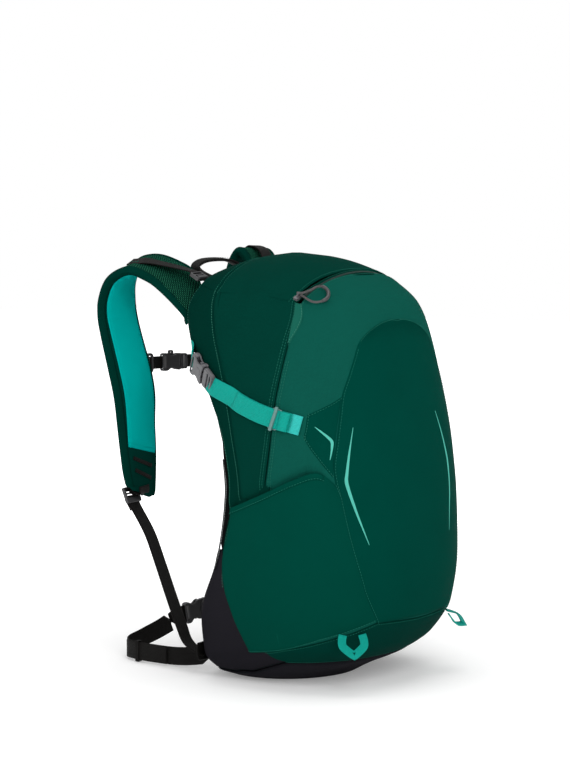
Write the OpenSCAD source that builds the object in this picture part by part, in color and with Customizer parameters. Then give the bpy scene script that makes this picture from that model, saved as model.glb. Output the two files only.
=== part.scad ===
// Hiking daypack of 18 litres, standing on its base.
// The wearer stands on the +Y side and the outer front of the pack faces -Y.

/* [Fabric] */
// Thickness of the main body fabric with its lining
fabric = 2; // [1.2:0.1:3]
// Thickness of the outer layers: shield, wings and pockets
overlay = 1.1; // [0.8:0.1:1.6]
// Clear gap left open at the mouth of a side pocket
pocket_gap = 8; // [5:0.5:12]
// Thickness of the padded back
back_pad = 7; // [4:0.5:10]

/* [Shoulder harness] */
// Thickness of a shoulder strap
strap_thick = 10; // [6:0.5:14]
// Width of the coloured lining inside a strap
lining_wide = 48; // [34:1:50]
// Width of the webbing
webbing = 20; // [15:1:25]
// Thickness of the webbing
webbing_thick = 1.6; // [1.2:0.1:2.4]

/* [Loops and cords] */
// Width of the webbing of a tool loop
tool_web = 8; // [5:0.5:12]
// Width of the haul loop
haul_wide = 12; // [8:1:18]
// Thickness of the haul loop
haul_thick = 3.6; // [2:0.2:5]

/* [Hidden] */

// Plan sections of the bag, one row a height:
// height, half width, front, back, middle, roundness of the front and of the back
SHAPE = [
  [0, 78, -1, 108, 70, 2.0, 3.0],
  [8, 98, -14, 120, 64, 2.1, 3.5],
  [22, 112, -46, 124, 50, 2.2, 4.5],
  [45, 124, -78, 122, 34, 2.4, 4.5],
  [80, 136, -99, 112, 27, 2.4, 4.5],
  [130, 140, -105, 86, 25, 2.4, 4.5],
  [190, 140, -103, 71, 25, 2.4, 4.2],
  [250, 137, -95, 77, 28, 2.5, 4.2],
  [310, 131, -83, 107, 38, 2.6, 4.2],
  [360, 121, -73, 142, 48, 2.7, 4.2],
  [395, 107, -61, 156, 55, 2.8, 4.0],
  [420, 86, -38, 150, 60, 2.7, 3.5],
  [436, 60, -8, 126, 60, 2.5, 3.0],
  [446, 32, 24, 96, 60, 2.2, 2.4],
  [450, 6, 60, 70, 64, 2.0, 2.0]
];
pack_height = 450;
core_y = 20;
core_low = 120;
core_high = 330;
far_reach = 400;
halvings = 17;

seam_gap = 0.5;
layer_gap = 0.4;
base_depth = overlay + layer_gap;

// Front seam of a side panel, from the foot of the zip down to the base, left side
RIDGE = [
  [-95, -10, 400], [-104, -14, 383], [-113, -13, 363], [-122, -10, 331], [-128, -7, 303],
  [-134, -5, 264], [-138, 0, 208], [-139, 0, 150], [-138, 0, 100], [-124, -2, 46]
];
// Seam between a side panel and the band behind it
REAR_SEAM = [
  [-96, 97, 409], [-109, 91, 391], [-119, 80, 366], [-127, 64, 332], [-132, 53, 303],
  [-136, 42, 264], [-140, 29, 208], [-139, 31, 150], [-137, 36, 100], [-124, 38, 46]
];
// Edge of the padded back
BACK_EDGE = [
  [-80, 147, 414], [-93, 147, 394], [-105, 132, 362], [-114, 112, 332], [-123, 91, 303],
  [-131, 62, 264], [-138, 47, 208], [-138, 55, 150], [-138, 57, 100], [-124, 44, 46]
];
fold_gap = 0.5;
zip_middle = [0, 34.6, 283.7];
zip_radius = 156.6;
zip_lean = 21;
zip_half_angle = 37;
fold_drop = 42.46;
fold_height = zip_middle.z + zip_radius * cos(zip_lean) * cos(zip_half_angle) - fold_drop;
zip_clear = 0.4;
zip_tape_wide = 6.5;

shield_rows = [
  [73, 62], [95, 76], [115, 85], [157, 96], [200, 103], [232, 106], [261, 101], [286, 95],
  [308, 89], [323, 82], [345, 71], [358, 64]
];
shield_top_rows = [for (r = [[0, 64], [7, 57], [14, 45], [20, 28], [23, 10]]) [fold_height + r[0], r[1]]];

// Outer and inner edges of the left shoulder strap, which stands out from the back, station by station
LEFT_OUTER = [
  [-81, 152.3, 371], [-84, 151, 381], [-90, 181, 410], [-95, 200, 423], [-98, 222, 429], [-101, 246, 419],
  [-103, 257, 399], [-104, 258, 380], [-106, 252, 360], [-108, 239, 322], [-109, 230, 293],
  [-110, 224, 262], [-110, 220, 234], [-109, 217, 212], [-105, 215, 193]
];
LEFT_INNER = [
  [-42, 163.2, 409], [-44, 176, 430], [-46, 208, 442], [-47, 232, 443], [-47, 250, 436], [-47, 259, 416],
  [-47, 259, 397], [-47, 256, 379], [-47, 250, 359], [-47, 236, 320], [-48, 229, 291],
  [-52, 226, 260], [-56, 221, 230], [-59, 219, 204], [-62, 218, 177]
];
// The right shoulder strap, which hangs closer to the back
RIGHT_OUTER = [
  [82, 152.8, 372], [86, 152, 392], [92, 164, 430], [96, 180, 447], [98, 198, 441], [100, 209, 420],
  [102, 216, 395], [104, 222, 365], [106, 226, 335], [108, 226, 305], [109, 222, 276],
  [110, 217, 248], [110, 213, 222], [109, 210, 202], [105, 208, 184]
];
RIGHT_INNER = [
  [42, 163.8, 409], [44, 166, 428], [46, 177, 444], [47, 187, 449], [47, 195, 439], [47, 202, 418],
  [47, 209, 393], [47, 216, 363], [47, 220, 333], [47, 221, 303], [48, 218, 274],
  [52, 214, 246], [56, 210, 220], [59, 208, 194], [62, 207, 168]
];
LEFT_WEB = [[-89, 220, 172.5], [-92, 196, 144], [-95, 178, 113], [-99, 160, 82], [-103, 141, 50], [-103, 131, 33]];
RIGHT_WEB = [[89, 210, 163.5], [92, 190, 138], [95, 174, 110], [99, 158, 80], [103, 141, 50], [103, 131, 33]];

function limit(v, low, high) = min(max(v, low), high);
function harmonic(a, b) = a * b > 0 ? 2 * a * b / (a + b) : 0;
function both_slopes(p, q) = [for (k = [0:len(p) - 1]) harmonic(p[k], q[k])];
last_row = len(SHAPE) - 1;
STEEP = [for (i = [0:last_row - 1]) (SHAPE[i + 1] - SHAPE[i]) / (SHAPE[i + 1][0] - SHAPE[i][0])];
SLOPE = [for (i = [0:last_row]) i == 0 ? STEEP[0] : i == last_row ? STEEP[i - 1] : both_slopes(STEEP[i - 1], STEEP[i])];
function row_at(z, i) = (i >= last_row - 1 || z < SHAPE[i + 1][0]) ? i : row_at(z, i + 1);
function section(z) =
  let (c = limit(z, 0, pack_height), i = row_at(c, 0))
  let (h = SHAPE[i + 1][0] - SHAPE[i][0], s = (c - SHAPE[i][0]) / h)
  let (s2 = s * s, s3 = s2 * s)
  SHAPE[i] * (2 * s3 - 3 * s2 + 1) + SLOPE[i] * (h * (s3 - 2 * s2 + s))
  + SHAPE[i + 1] * (3 * s2 - 2 * s3) + SLOPE[i + 1] * (h * (s3 - s2));
function within(p) =
  (p.z < 0 || p.z > pack_height) ? false :
  let (t = section(p.z), front = p.y < t[4])
  let (n = front ? t[5] : t[6], deep = front ? t[4] - t[2] : t[3] - t[4])
  pow(abs(p.x) / t[1], n) + pow(abs(p.y - t[4]) / deep, n) < 1;
function core(p) = [0, core_y, limit(p.z, core_low, core_high)];
function reach(c, d, low, high, left) =
  left == 0 ? low :
  let (m = (low + high) / 2)
  within(c + d * m) ? reach(c, d, m, high, left - 1) : reach(c, d, low, m, left - 1);
function unit(v) = v / norm(v);
// The point of the bag's surface straight out from its core through p, set in by a depth
function skin(p, deep) =
  let (c = core(p), d = (p - c) / norm(p - c))
  c + d * (reach(c, d, 0, far_reach, halvings) - deep);

// Direction straight out of the bag's surface near p
function outward(p) =
  let (up = skin(p + [0, 0, 4], 0) - skin(p - [0, 0, 4], 0), on = skin(p + [0, 4, 0], 0) - skin(p - [0, 4, 0], 0))
  let (n = unit(cross(up, on))) n * (p - core(p)) > 0 ? n : -n;

// Height of the pocket mouth at a distance from front to back
function mouth_height(y) = limit(206 - 0.5 * (y - 4), 186, 243);
function ease(t) = let (s = limit(t, 0, 1)) s * s * (3 - 2 * s);
ramp_above = 12;
ramp_tall = 20;
pocket_foot = 62;
recess_front = -62;
// How far the body fabric is set in to leave the pocket room
function recess(p) =
  (pocket_gap - layer_gap) * ease((mouth_height(p.y) + ramp_above - p.z) / ramp_tall)
  * ease((p.z - pocket_foot) / ramp_tall) * ease((p.y - recess_front) / ramp_tall)
  * ease((58 - p.y) / ramp_tall);

function spline(p, t) =
  let (n = len(p) - 1, s = limit(t, 0, 1) * n, i = min(floor(s), n - 1), f = s - i)
  let (a = p[max(i - 1, 0)], b = p[i], c = p[i + 1], d = p[min(i + 2, n)])
  b + 0.5 * f * (c - a + f * (2 * a - 5 * b + 4 * c - d + f * (3 * (b - c) + d - a)));
function flip(p) = [-p.x, p.y, p.z];
function both(half) = concat(half, [for (i = [len(half) - 2:-1:0]) flip(half[i])]);
function lerp(a, b, t) = a + (b - a) * t;

// A thin closed sheet between two grids of points, rows first
function cell(a, b, c, d, turned) = turned ? [[a, b, c], [a, c, d]] : [[c, b, a], [d, c, a]];
module sheet(outer, inner) {
  rows = len(outer);
  cols = len(outer[0]);
  flat = concat([for (r = outer) for (p = r) p], [for (r = inner) for (p = r) p]);
  n = rows * cols;
  facing = cross(outer[0][1] - outer[0][0], outer[1][0] - outer[0][0]) * (outer[0][0] - inner[0][0]);
  up = facing > 0;
  top = [for (i = [0:rows - 2]) for (j = [0:cols - 2])
    each cell(i * cols + j, i * cols + j + 1, (i + 1) * cols + j + 1, (i + 1) * cols + j, !up)];
  low = [for (i = [0:rows - 2]) for (j = [0:cols - 2])
    each cell(n + i * cols + j, n + i * cols + j + 1, n + (i + 1) * cols + j + 1, n + (i + 1) * cols + j, up)];
  edge = concat(
    [for (j = [0:cols - 1]) j],
    [for (i = [1:rows - 1]) i * cols + cols - 1],
    [for (j = [cols - 2:-1:0]) (rows - 1) * cols + j],
    [for (i = [rows - 2:-1:1]) i * cols]
  );
  m = len(edge);
  rim = [for (k = [0:m - 1]) let (a = edge[k], b = edge[(k + 1) % m]) each cell(a, b, n + b, n + a, up)];
  polyhedron(points = flat, faces = concat(top, low, rim));
}
// A piece of the bag's skin between rails, each rail a list of points
module skin_panel(rails, rows, cols, deep, thick, sunk = false, trim = [0, 1, 0, 1]) {
  q = [for (i = [0:rows]) let (t = lerp(trim[0], trim[1], i / rows))
    [for (j = [0:cols]) let (s = lerp(trim[2], trim[3], j / cols))
      spline([for (r = rails) spline(r, s)], t)]];
  outer = [for (r = q) [for (p = r) skin(p, deep + (sunk ? recess(skin(p, 0)) : 0))]];
  inner = [for (r = q) [for (p = r) skin(p, deep + thick + (sunk ? recess(skin(p, 0)) : 0))]];
  sheet(outer, inner);
}
// The same between two lists of points already on the skin
module skin_grid(q, deep, thick) {
  outer = [for (r = q) [for (p = r) skin(p, deep)]];
  inner = [for (r = q) [for (p = r) skin(p, deep + thick)]];
  sheet(outer, inner);
}
function tangent(p, i) = unit(p[min(i + 1, len(p) - 1)] - p[max(i - 1, 0)]);
// A flat band along a path; across is the direction of its width at each point
module band(path, across, wide, thick) {
  n = len(path);
  ring = [for (i = [0:n - 1])
    let (t = tangent(path, i), w = unit(across[i] - t * (across[i] * t)), h = cross(t, w))
    for (c = [[-1, -1], [1, -1], [1, 1], [-1, 1]])
      path[i] + w * (c[0] * (is_list(wide) ? wide[i] : wide) / 2) + h * (c[1] * thick / 2)];
  side = [for (i = [0:n - 2]) for (k = [0:3]) let (a = i * 4 + k, b = i * 4 + (k + 1) % 4)
    each [[a, a + 4, b + 4], [a, b + 4, b]]];
  polyhedron(points = ring, faces = concat([[0, 1, 2, 3]], side, [[4 * n - 1, 4 * n - 2, 4 * n - 3, 4 * n - 4]]));
}
// A round cord along a path
cord_sides = 8;
module cord(path, radius) {
  n = len(path);
  k = cord_sides;
  start = abs(tangent(path, 0).z) < 0.9 ? [0, 0, 1] : [1, 0, 0];
  ring = [for (i = [0:n - 1])
    let (t = tangent(path, i), u = unit(cross(t, start)), v = cross(t, u))
    for (j = [0:k - 1]) path[i] + radius * (u * cos(360 * j / k) + v * sin(360 * j / k))];
  side = [for (i = [0:n - 2]) for (j = [0:k - 1]) let (a = i * k + j, b = i * k + (j + 1) % k)
    each [[a, a + k, b + k], [a, b + k, b]]];
  polyhedron(points = ring, faces = concat([[for (j = [0:k - 1]) j]], side,
    [[for (j = [k - 1:-1:0]) (n - 1) * k + j]]));
}
// Sets a piece drawn along +X and facing +Z at a place, running along and facing two directions
module place(at, along, facing) {
  d = unit(along);
  f = unit(facing - d * (facing * d));
  b = -asin(d.z);
  g = atan2(d.y, d.x);
  y0 = [-sin(g), cos(g), 0];
  z0 = [sin(b) * cos(g), sin(b) * sin(g), cos(b)];
  a = atan2(-(f * y0), f * z0);
  translate(at) rotate([a, b, g]) children();
}
module mirrored() { mirror([1, 0, 0]) children(); }

// Points on the bag at one height: by direction in plan, by sideways place on the front and on the back
function rim(a, z) =
  let (t = section(z), c = cos(a), s = sin(a), n = s < 0 ? t[5] : t[6], deep = s < 0 ? t[4] - t[2] : t[3] - t[4])
  let (k = pow(pow(abs(c) / t[1], n) + pow(abs(s) / deep, n), -1 / n))
  [k * c, t[4] + k * s, z];
function front_at(x, z) =
  let (t = section(z))
  [x, t[4] - (t[4] - t[2]) * pow(max(0, 1 - pow(abs(x) / t[1], t[5])), 1 / t[5]), z];
function back_at(x, z) =
  let (t = section(z))
  [x, t[4] + (t[3] - t[4]) * pow(max(0, 1 - pow(abs(x) / t[1], t[6])), 1 / t[6]), z];
function angle_of(p) = atan2(p.y - section(p.z)[4], p.x);

zip_axis = [0, cos(zip_lean), sin(zip_lean)];
function zip_at(a, aside) =
  zip_middle + zip_radius * [sin(a), -sin(zip_lean) * cos(a), cos(zip_lean) * cos(a)] + aside * zip_axis;

front_seam_rows = [[0, 71], [28, 73], [33, 69], [39, 64], [45, 60], [53, 54], [60, 49], [75, 41], [90, 37]];
function front_seam(a) = lookup(abs(a + 90), front_seam_rows);
base_top_rows = [[0, 27], [65, 27], [80, 11], [95, 9], [180, 7]];
function base_top(a) = lookup(abs(a + 90), base_top_rows);
back_foot_rows = [[0, 58], [60, 66], [104, 87], [126, 118], [138, 146]];
back_top_rows = [[0, 423], [0.3, 422], [0.6, 419], [0.8, 417], [1, 413]];
edge_steps = 36;
back_edge_rows = [for (i = [edge_steps:-1:0]) let (p = skin(spline(BACK_EDGE, i / edge_steps), 0))
  [p.z, 180 - angle_of(p)]];
ridge_rows = [for (i = [len(RIDGE) - 1:-1:0]) [RIDGE[i].z, angle_of(RIDGE[i])]];

YOKE_TOP = both([[-96, 97, 409], [-84, 96, 420], [-60, 97, 433], [-30, 98, 441], [0, 98, 443]]);
yoke_rise = 1.3;
YOKE_BACK = [for (i = [0:12])
  let (k = lerp(-1, 1, i / 12), z = lookup(abs(k), back_top_rows) + yoke_rise)
  rim(90 - (90 - lookup(z, back_edge_rows)) * k, z)];
function back_grid(inset, rows, cols) = [for (i = [0:rows]) [for (j = [0:cols])
  let (k = lerp(-1, 1, j / cols), low = lookup(138 * abs(sin(90 * k)), back_foot_rows) + seam_gap + 120 * inset)
  let (z = lerp(low, lookup(abs(k), back_top_rows) - 120 * inset, i / rows))
  let (a = lookup(z, back_edge_rows) * (1 - inset) + 90 * inset) rim(90 - (90 - a) * k, z)]];
module back_panel() {
  color("dimgray")
  skin_grid(back_grid(0, 16, 22), 0, back_pad);
}
frame_thick = 1.5;
frame_inset = 0.12;
frame_gap = 2.2;
module frame_sheet() {
  color("gray")
  skin_grid(back_grid(frame_inset, 12, 16), back_pad + frame_gap, frame_thick);
}
module yoke_panel() {
  color("darkgreen")
  skin_panel([YOKE_TOP, YOKE_BACK], 5, 22, 0, fabric, trim = [0.01, 1, 0.004, 0.996]);
}
module rear_band_left() {
  color("darkgreen")
  skin_panel([REAR_SEAM, BACK_EDGE], 6, 24, base_depth, fabric, true, [0.012, 0.955, 0.004, 0.9]);
}
module side_panel_left() {
  color("seagreen")
  skin_panel([RIDGE, REAR_SEAM], 9, 26, base_depth, fabric, true, [0.012, 0.988, 0.004, 0.98]);
}
module top_panel() {
  front = [for (a = [-zip_half_angle:zip_half_angle / 4:zip_half_angle]) zip_at(a, zip_tape_wide + seam_gap)];
  color("seagreen")
  skin_panel([front, YOKE_TOP], 8, 20, base_depth, fabric, trim = [0.002, 0.992, 0.006, 0.994]);
}
front_cols = 24;
front_rows = 15;
module front_panel() {
  top = fold_height - fold_gap;
  q = [for (i = [0:front_rows]) [for (j = [0:front_cols])
    let (s = lerp(0.004, 0.996, j / front_cols))
    let (guess = lookup(front_seam(lerp(-170, -10, s)), ridge_rows))
    let (low = front_seam(lerp(guess, -180 - guess, s)) + 2 * seam_gap, z = lerp(low, top, i / front_rows))
    let (a = lookup(z, ridge_rows)) rim(lerp(a, -180 - a, s), z)]];
  outer = [for (r = q) [for (p = r) skin(p, base_depth + (recess(p)))]];
  inner = [for (r = q) [for (p = r) skin(p, base_depth + fabric + recess(p))]];
  color("seagreen") sheet(outer, inner);
}
module shield() {
  bottom = shield_rows[0][0];
  top = fold_height - fold_gap;
  q = [for (i = [0:20]) [for (j = [0:16])
    let (z = lerp(bottom, top, i / 20)) front_at(lerp(-1, 1, j / 16) * lookup(z, shield_rows), z)]];
  color("teal") skin_grid(q, 0, overlay);
}
module wing_left() {
  upper = [[-118, -41, 288], [-109, -51, 294], [-99, -59, 300], [-90, -64, 306]];
  middle = [[-120, -41, 277], [-115, -50, 272], [-109, -58, 266], [-101.7, -65, 261]];
  lower = [[-122, -40, 265], [-119, -47, 253], [-114, -57, 239], [-107, -66, 225]];
  color("darkgreen") skin_panel([upper, middle, lower], 6, 6, 0, overlay, trim = [0, 1, 0, 0.99]);
}
module side_pocket_left() {
  rails = [
    [[-107, -66, 219], [-116, -54, 230], [-130, -31, 222], [-138, -3, 208], [-140, 22, 197], [-138.5, 44, 188]],
    [[-104, -71, 200], [-117, -56, 194], [-131, -31, 187], [-139, -2, 178], [-140, 24, 170], [-138, 49, 163]],
    [[-97, -78, 157], [-114, -61, 153], [-131, -32, 148], [-139, -3, 143], [-141, 28, 138], [-138, 57, 134]],
    [[-86, -84, 115], [-108, -64, 112], [-127, -36, 109], [-137, -4, 106], [-139, 28, 104], [-138, 54, 102]],
    [[-76.5, -86, 93], [-100, -66, 87], [-120, -38, 82], [-133, -8, 78], [-136, 22, 76], [-134, 45, 75]],
    [[-64, -87, 74.5], [-84, -73, 66.5], [-105, -46, 55.5], [-117, -12, 43], [-119.5, 16, 38.5], [-119, 34, 36.5]]
  ];
  color("seagreen") skin_panel(rails, 16, 18, 0, overlay, trim = [0, 0.988, 0.004, 0.97]);
}
module front_base_panel() {
  q = [for (i = [0:4]) [for (j = [0:32])
    let (a = limit(-170 + 5 * j, -169.6, -10.4)) rim(a, lerp(base_top(a) + seam_gap, front_seam(a) - seam_gap, i / 4))]];
  color("darkgreen") skin_grid(q, 0, fabric);
}
base_thick = 3;
base_steps = [1, 0.75, 0.5, 0.28, 0.12, 0];
base_sides = 72;
base_mid = 60;
module base_panel() {
  outer = [for (k = base_steps) [for (j = [0:base_sides - 1])
    let (a = 360 * j / base_sides - 180) rim(a, k * base_top(a))]];
  inner = [for (r = outer) [for (p = r)
    let (d = unit([p.x, p.y - base_mid, 0])) [p.x - d.x * base_thick, p.y - d.y * base_thick, max(p.z, base_thick)]]];
  loops = concat(outer, [for (i = [len(inner) - 1:-1:0]) inner[i]]);
  n = base_sides;
  flat = [for (r = loops) for (p = r) p];
  m = len(base_steps);
  skins = [for (i = [0:2 * m - 2]) if (i != m - 1) for (j = [0:n - 1])
    let (a = i * n + j, b = i * n + (j + 1) % n) each cell(a, b, b + n, a + n, true)];
  close = [for (j = [0:n - 1])
    let (a = (2 * m - 1) * n + j, b = (2 * m - 1) * n + (j + 1) % n) each cell(a, b, (j + 1) % n, j, true)];
  sole = [[for (j = [0:n - 1]) (m - 1) * n + j]];
  lid = [[for (j = [n - 1:-1:0]) m * n + j]];
  color("darkslategray") polyhedron(points = flat, faces = concat(skins, close, sole, lid));
}
module lower_back_panel() {
  q = [for (i = [0:8]) [for (j = [0:40])
    let (k = lerp(-1, 1, j / 40), t = i / 8, side = sin(90 * k))
    let (top = lookup(138 * abs(side), back_foot_rows) - seam_gap - 1.5 * pow(abs(k), 3))
    let (edge = lookup(top, back_edge_rows), high = 90 - (90 - 0.9 * pow(abs(k), 8) - edge) * k)
    let (low = limit(190 - 5 * j, -9.6, 189.6), low_z = base_top(low > 180 ? low - 360 : low) + 1.2)
    rim(lerp(low, high, 1 - pow(1 - t, 3)), lerp(low_z, top, t))]];
  color("darkslategray") skin_grid(q, 0, fabric);
}
tape_rise = 0.3;
// A tape lies on the arc that the slider follows, from one distance beside the zip to another
module tape(half_angle, near, far) {
  function on(a, off, r) = zip_at(a, off) + r * unit(zip_at(a, 0) - zip_middle);
  angles = [-half_angle:half_angle / 10:half_angle];
  outer = [for (off = [near, (near + far) / 2, far]) [for (a = angles) on(a, off, tape_rise)]];
  inner = [for (off = [near, (near + far) / 2, far]) [for (a = angles) on(a, off, tape_rise - overlay)]];
  sheet(outer, inner);
}
module zip_tape_body() {
  color("darkgreen") tape(zip_half_angle, zip_clear / 2, zip_tape_wide);
}
flap_zip_angle = 33;
module zip_tape_flap() {
  color("darkgreen") tape(flap_zip_angle, -zip_clear / 2, -zip_tape_wide);
}
// Height at a share of the way from the fold up to the foot of the zip
function above_fold(share) = fold_height + share * fold_drop;
module zip_garage_left() {
  rear = [[-98, -8, above_fold(0.92)], [-104, -12, above_fold(0.66)], [-110, -12, above_fold(0.355)],
    [-115, -12, above_fold(0.035)]];
  front = [[-93.5, -15, above_fold(0.895)], [-98, -20, above_fold(0.635)], [-103.5, -22, above_fold(0.355)],
    [-112.5, -17, above_fold(0.035)]];
  color("seagreen") skin_panel([rear, front], 2, 8, 0, overlay);
}
flap_front = -zip_tape_wide - seam_gap;
FLAP_TOP = both([
  [-110, -23, above_fold(0.06)], [-106, -24, above_fold(0.26)], [-99, -25, above_fold(0.54)],
  [-91, -23, above_fold(0.85)], zip_at(-30, flap_front),
  zip_at(-22, flap_front), zip_at(-15, flap_front), zip_at(-7.5, flap_front), zip_at(0, flap_front)
]);
FLAP_FOLD = both([for (a = [-147, -141, -135, -128, -120.5, -113, -105.5, -98, -90]) rim(a, fold_height + fold_gap)]);
module front_flap() {
  color("seagreen") skin_panel([FLAP_FOLD, FLAP_TOP], 8, 24, base_depth, fabric);
}
module shield_top() {
  q = [for (i = [0:5]) [for (j = [0:10])
    let (z = lerp(fold_height + fold_gap, shield_top_rows[4][0], i / 5)) front_at(lerp(-1, 1, j / 10) * lookup(z, shield_top_rows), z)]];
  color("teal") skin_grid(q, 0, overlay);
}

// Zip pull
slider_angle = -35;
slider_long = 11;
slider_wide = 5.6;
slider_tall = 3;
slider_off = 3.2;
slider_lift = 0.7;
function arc_out(a) = unit(zip_at(a, 0) - zip_middle);
function arc_along(a) = cross(arc_out(a), zip_axis);
slider_mid = zip_at(slider_angle, slider_off) + arc_out(slider_angle) * slider_lift;
eye_back = 1.5;
eye_thick = 2;
module zip_slider() {
  color("dimgray") place(slider_mid, arc_along(slider_angle), arc_out(slider_angle)) {
    translate([-slider_long / 2, -slider_wide / 2, 0]) cube([slider_long, slider_wide, slider_tall]);
    translate([-eye_back, 0, slider_tall]) rotate([90, 0, 0])
    translate([0, 0, -eye_thick / 2]) cylinder(d = 5, h = eye_thick, $fn = 24);
  }
}
puller_cord = 2.4;
eye = slider_mid - arc_along(slider_angle) * eye_back + arc_out(slider_angle) * (slider_tall + 1.4);
eye_side = zip_axis * (eye_thick / 2 + puller_cord / 2 + 0.3);
PULLER = concat([eye + eye_side], [[-87.5, -8.6, 412.8], [-80, -14.5, 416],
  [-72, -20, 418.5], [-66, -25.5, 418], [-63.5, -31, 415], [-66, -36, 411.5], [-73, -34, 410.5], [-81, -24.5, 411.5],
  [-87.5, -13.8, 410.8]], [eye - eye_side]);
module zip_puller() {
  color("gray") cord(PULLER, puller_cord / 2);
}

// Loops
haul_stand = 2.4;
HAUL = both([skin([-37, 152, 422], -haul_stand), [-38.5, 169, 427], [-36, 177, 434], [-22, 179, 439.5], [0, 179, 441]]);
haul_across = [0, 0.67, -0.74];
haul_ends = 4;
module haul_loop() {
  last = len(HAUL) - 1;
  color("black") for (i = [0, last])
    translate(HAUL[i]) rotate([0, 90, 0]) cylinder(d = haul_ends, h = haul_thick, center = true, $fn = 24);
  color("black")
  band(HAUL, [for (p = HAUL) haul_across], [for (i = [0:last]) i == 0 || i == last ? haul_ends : haul_wide], haul_thick);
}
loop_at = [-84, -73, 64];
loop_side = [0.74, -0.67, 0];
loop_out = [-0.67, -0.74, 0];
// Half of a loop's course: to the side and away from the seam
LOOP = [[-10, 0.5], [-11.2, 6], [-10.6, 13], [-6.5, 20.5], [0, 23], [6.5, 20.5], [10.6, 13], [11.2, 6], [10, 0.5]];
loop_stand = 2;
hanging = 62;
sticking = 36;
module tool_loop(tilt) {
  base = skin(loop_at, -loop_stand);
  away = loop_out * cos(tilt) + [0, 0, -sin(tilt)];
  path = [for (p = LOOP) base + p.x * loop_side + p.y * away];
  color("turquoise")
  band(path, [for (i = [0:len(path) - 1]) cross(tangent(path, i), cross(loop_side, away))], tool_web, webbing_thick);
}
module tool_loop_left() {
  tool_loop(hanging);
}
module tool_loop_right() {
  mirrored() tool_loop(sticking);
}

// Shoulder harness
function middles(outer, inner) = [for (i = [0:len(outer) - 1]) (outer[i] + inner[i]) / 2];
function across_at(outer, inner, i) = unit(inner[i] - outer[i]);
// Direction from the strap to the wearer
function to_wearer(outer, inner, i) =
  let (n = cross(tangent(middles(outer, inner), i), inner[i] - outer[i])) unit(n) * (outer[0].x < 0 ? 1 : -1);
strap_profile = [[-1, -0.5], [-0.93, -1], [0, -1], [0.93, -1], [1, -0.5], [1, 0.5], [0.93, 1], [0, 1], [-0.93, 1], [-1, 0.5]];
module strap(outer, inner) {
  k = len(strap_profile);
  n = len(outer);
  mid = middles(outer, inner);
  turn = outer[0].x < 0;
  ring = [for (i = [0:n - 1]) for (c = strap_profile)
    mid[i] + across_at(outer, inner, i) * (c[0] * norm(inner[i] - outer[i]) / 2)
    + to_wearer(outer, inner, i) * (c[1] * strap_thick / 2)];
  side = [for (i = [0:n - 2]) for (j = [0:k - 1]) let (a = i * k + j, b = i * k + (j + 1) % k)
    each cell(a, b, b + k, a + k, !turn)];
  first = [for (j = [0:k - 1]) turn ? j : k - 1 - j];
  last = [for (j = [0:k - 1]) (n - 1) * k + (turn ? k - 1 - j : j)];
  color("darkgreen") polyhedron(points = ring, faces = concat([first], side, [last]));
}
module shoulder_strap_left() {
  strap(LEFT_OUTER, LEFT_INNER);
}
module shoulder_strap_right() {
  strap(RIGHT_OUTER, RIGHT_INNER);
}
lining_thick = 1;
lining_first = 4;
lining_last = 12;
lining_aside = 3;
lining_gap = 0.8;
module lining(outer, inner) {
  rows = [lining_first:lining_last];
  path = [for (i = rows) (outer[i] + inner[i]) / 2 + across_at(outer, inner, i) * lining_aside
    + to_wearer(outer, inner, i) * (strap_thick / 2 + lining_gap + lining_thick / 2)];
  color("turquoise") band(path, [for (i = rows) across_at(outer, inner, i)], lining_wide, lining_thick);
}
module strap_lining_left() {
  lining(LEFT_OUTER, LEFT_INNER);
}
module strap_lining_right() {
  lining(RIGHT_OUTER, RIGHT_INNER);
}
lifter_wide = 16;
lifter_rise = 8;
lifter_gap = 0.7;
lifter_buckle = [13, 19, 5];
LEFT_BUCKLE = [-60.5, 151.2, 423.8];
RIGHT_BUCKLE = [60.5, 149.5, 425.5];
left_run = unit([0.1, -0.85, -0.5]);
right_run = unit([-0.1, -0.35, -0.93]);
// A load lifter lies on the outside of the strap and runs on to its buckle at the pack
module lifter(outer, inner, buckle, bow) {
  on = [for (i = [4:-1:3]) (outer[i] + inner[i]) / 2 - to_wearer(outer, inner, i) * lifter_rise];
  w = across_at(outer, inner, 3);
  run = outer[0].x < 0 ? left_run : right_run;
  end = buckle - run * (lifter_buckle.x / 2 + lifter_gap);
  path = [on[0], lerp(on[0], on[1], 0.5), on[1], lerp(on[1], end - run * 5, 0.5) + bow, end - run * 5, end];
  side = [sign(-buckle.x), 0.12, 0];
  color("black") band(path, [w, w, w, w + side, side, side], lifter_wide, webbing_thick);
}
module load_lifter_left() {
  lifter(LEFT_OUTER, LEFT_INNER, LEFT_BUCKLE, [0, 0, 1]);
}
module load_lifter_right() {
  lifter(RIGHT_OUTER, RIGHT_INNER, RIGHT_BUCKLE, [0, -4, 5]);
}
module lifter_buckle() {
  difference() {
    translate(-lifter_buckle / 2) cube(lifter_buckle);
    translate([-3.5, -7, -lifter_buckle.z]) cube([3, 14, 2 * lifter_buckle.z]);
    translate([1.5, -7, -lifter_buckle.z]) cube([3, 14, 2 * lifter_buckle.z]);
  }
}
module lifter_buckle_left() {
  color("dimgray") place(LEFT_BUCKLE, left_run, [0, -0.5, 0.85]) lifter_buckle();
}
module lifter_buckle_right() {
  color("dimgray") place(RIGHT_BUCKLE, right_run, [0, -0.93, 0.35]) lifter_buckle();
}
lock = [18, 26, 4.4];
lock_bar = 3.5;
lock_slot = 3;
module ladder_lock() {
  difference() {
    translate([-lock.x / 2, -lock.y / 2, -lock.z / 2]) cube([lock.x, lock.y, lock.z]);
    for (x = [-lock.x / 2 + lock_bar, lock.x / 2 - lock_bar - lock_slot])
      translate([x, -webbing / 2 - 0.5, -lock.z]) cube([lock_slot, webbing + 1, 2 * lock.z]);
  }
}
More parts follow.
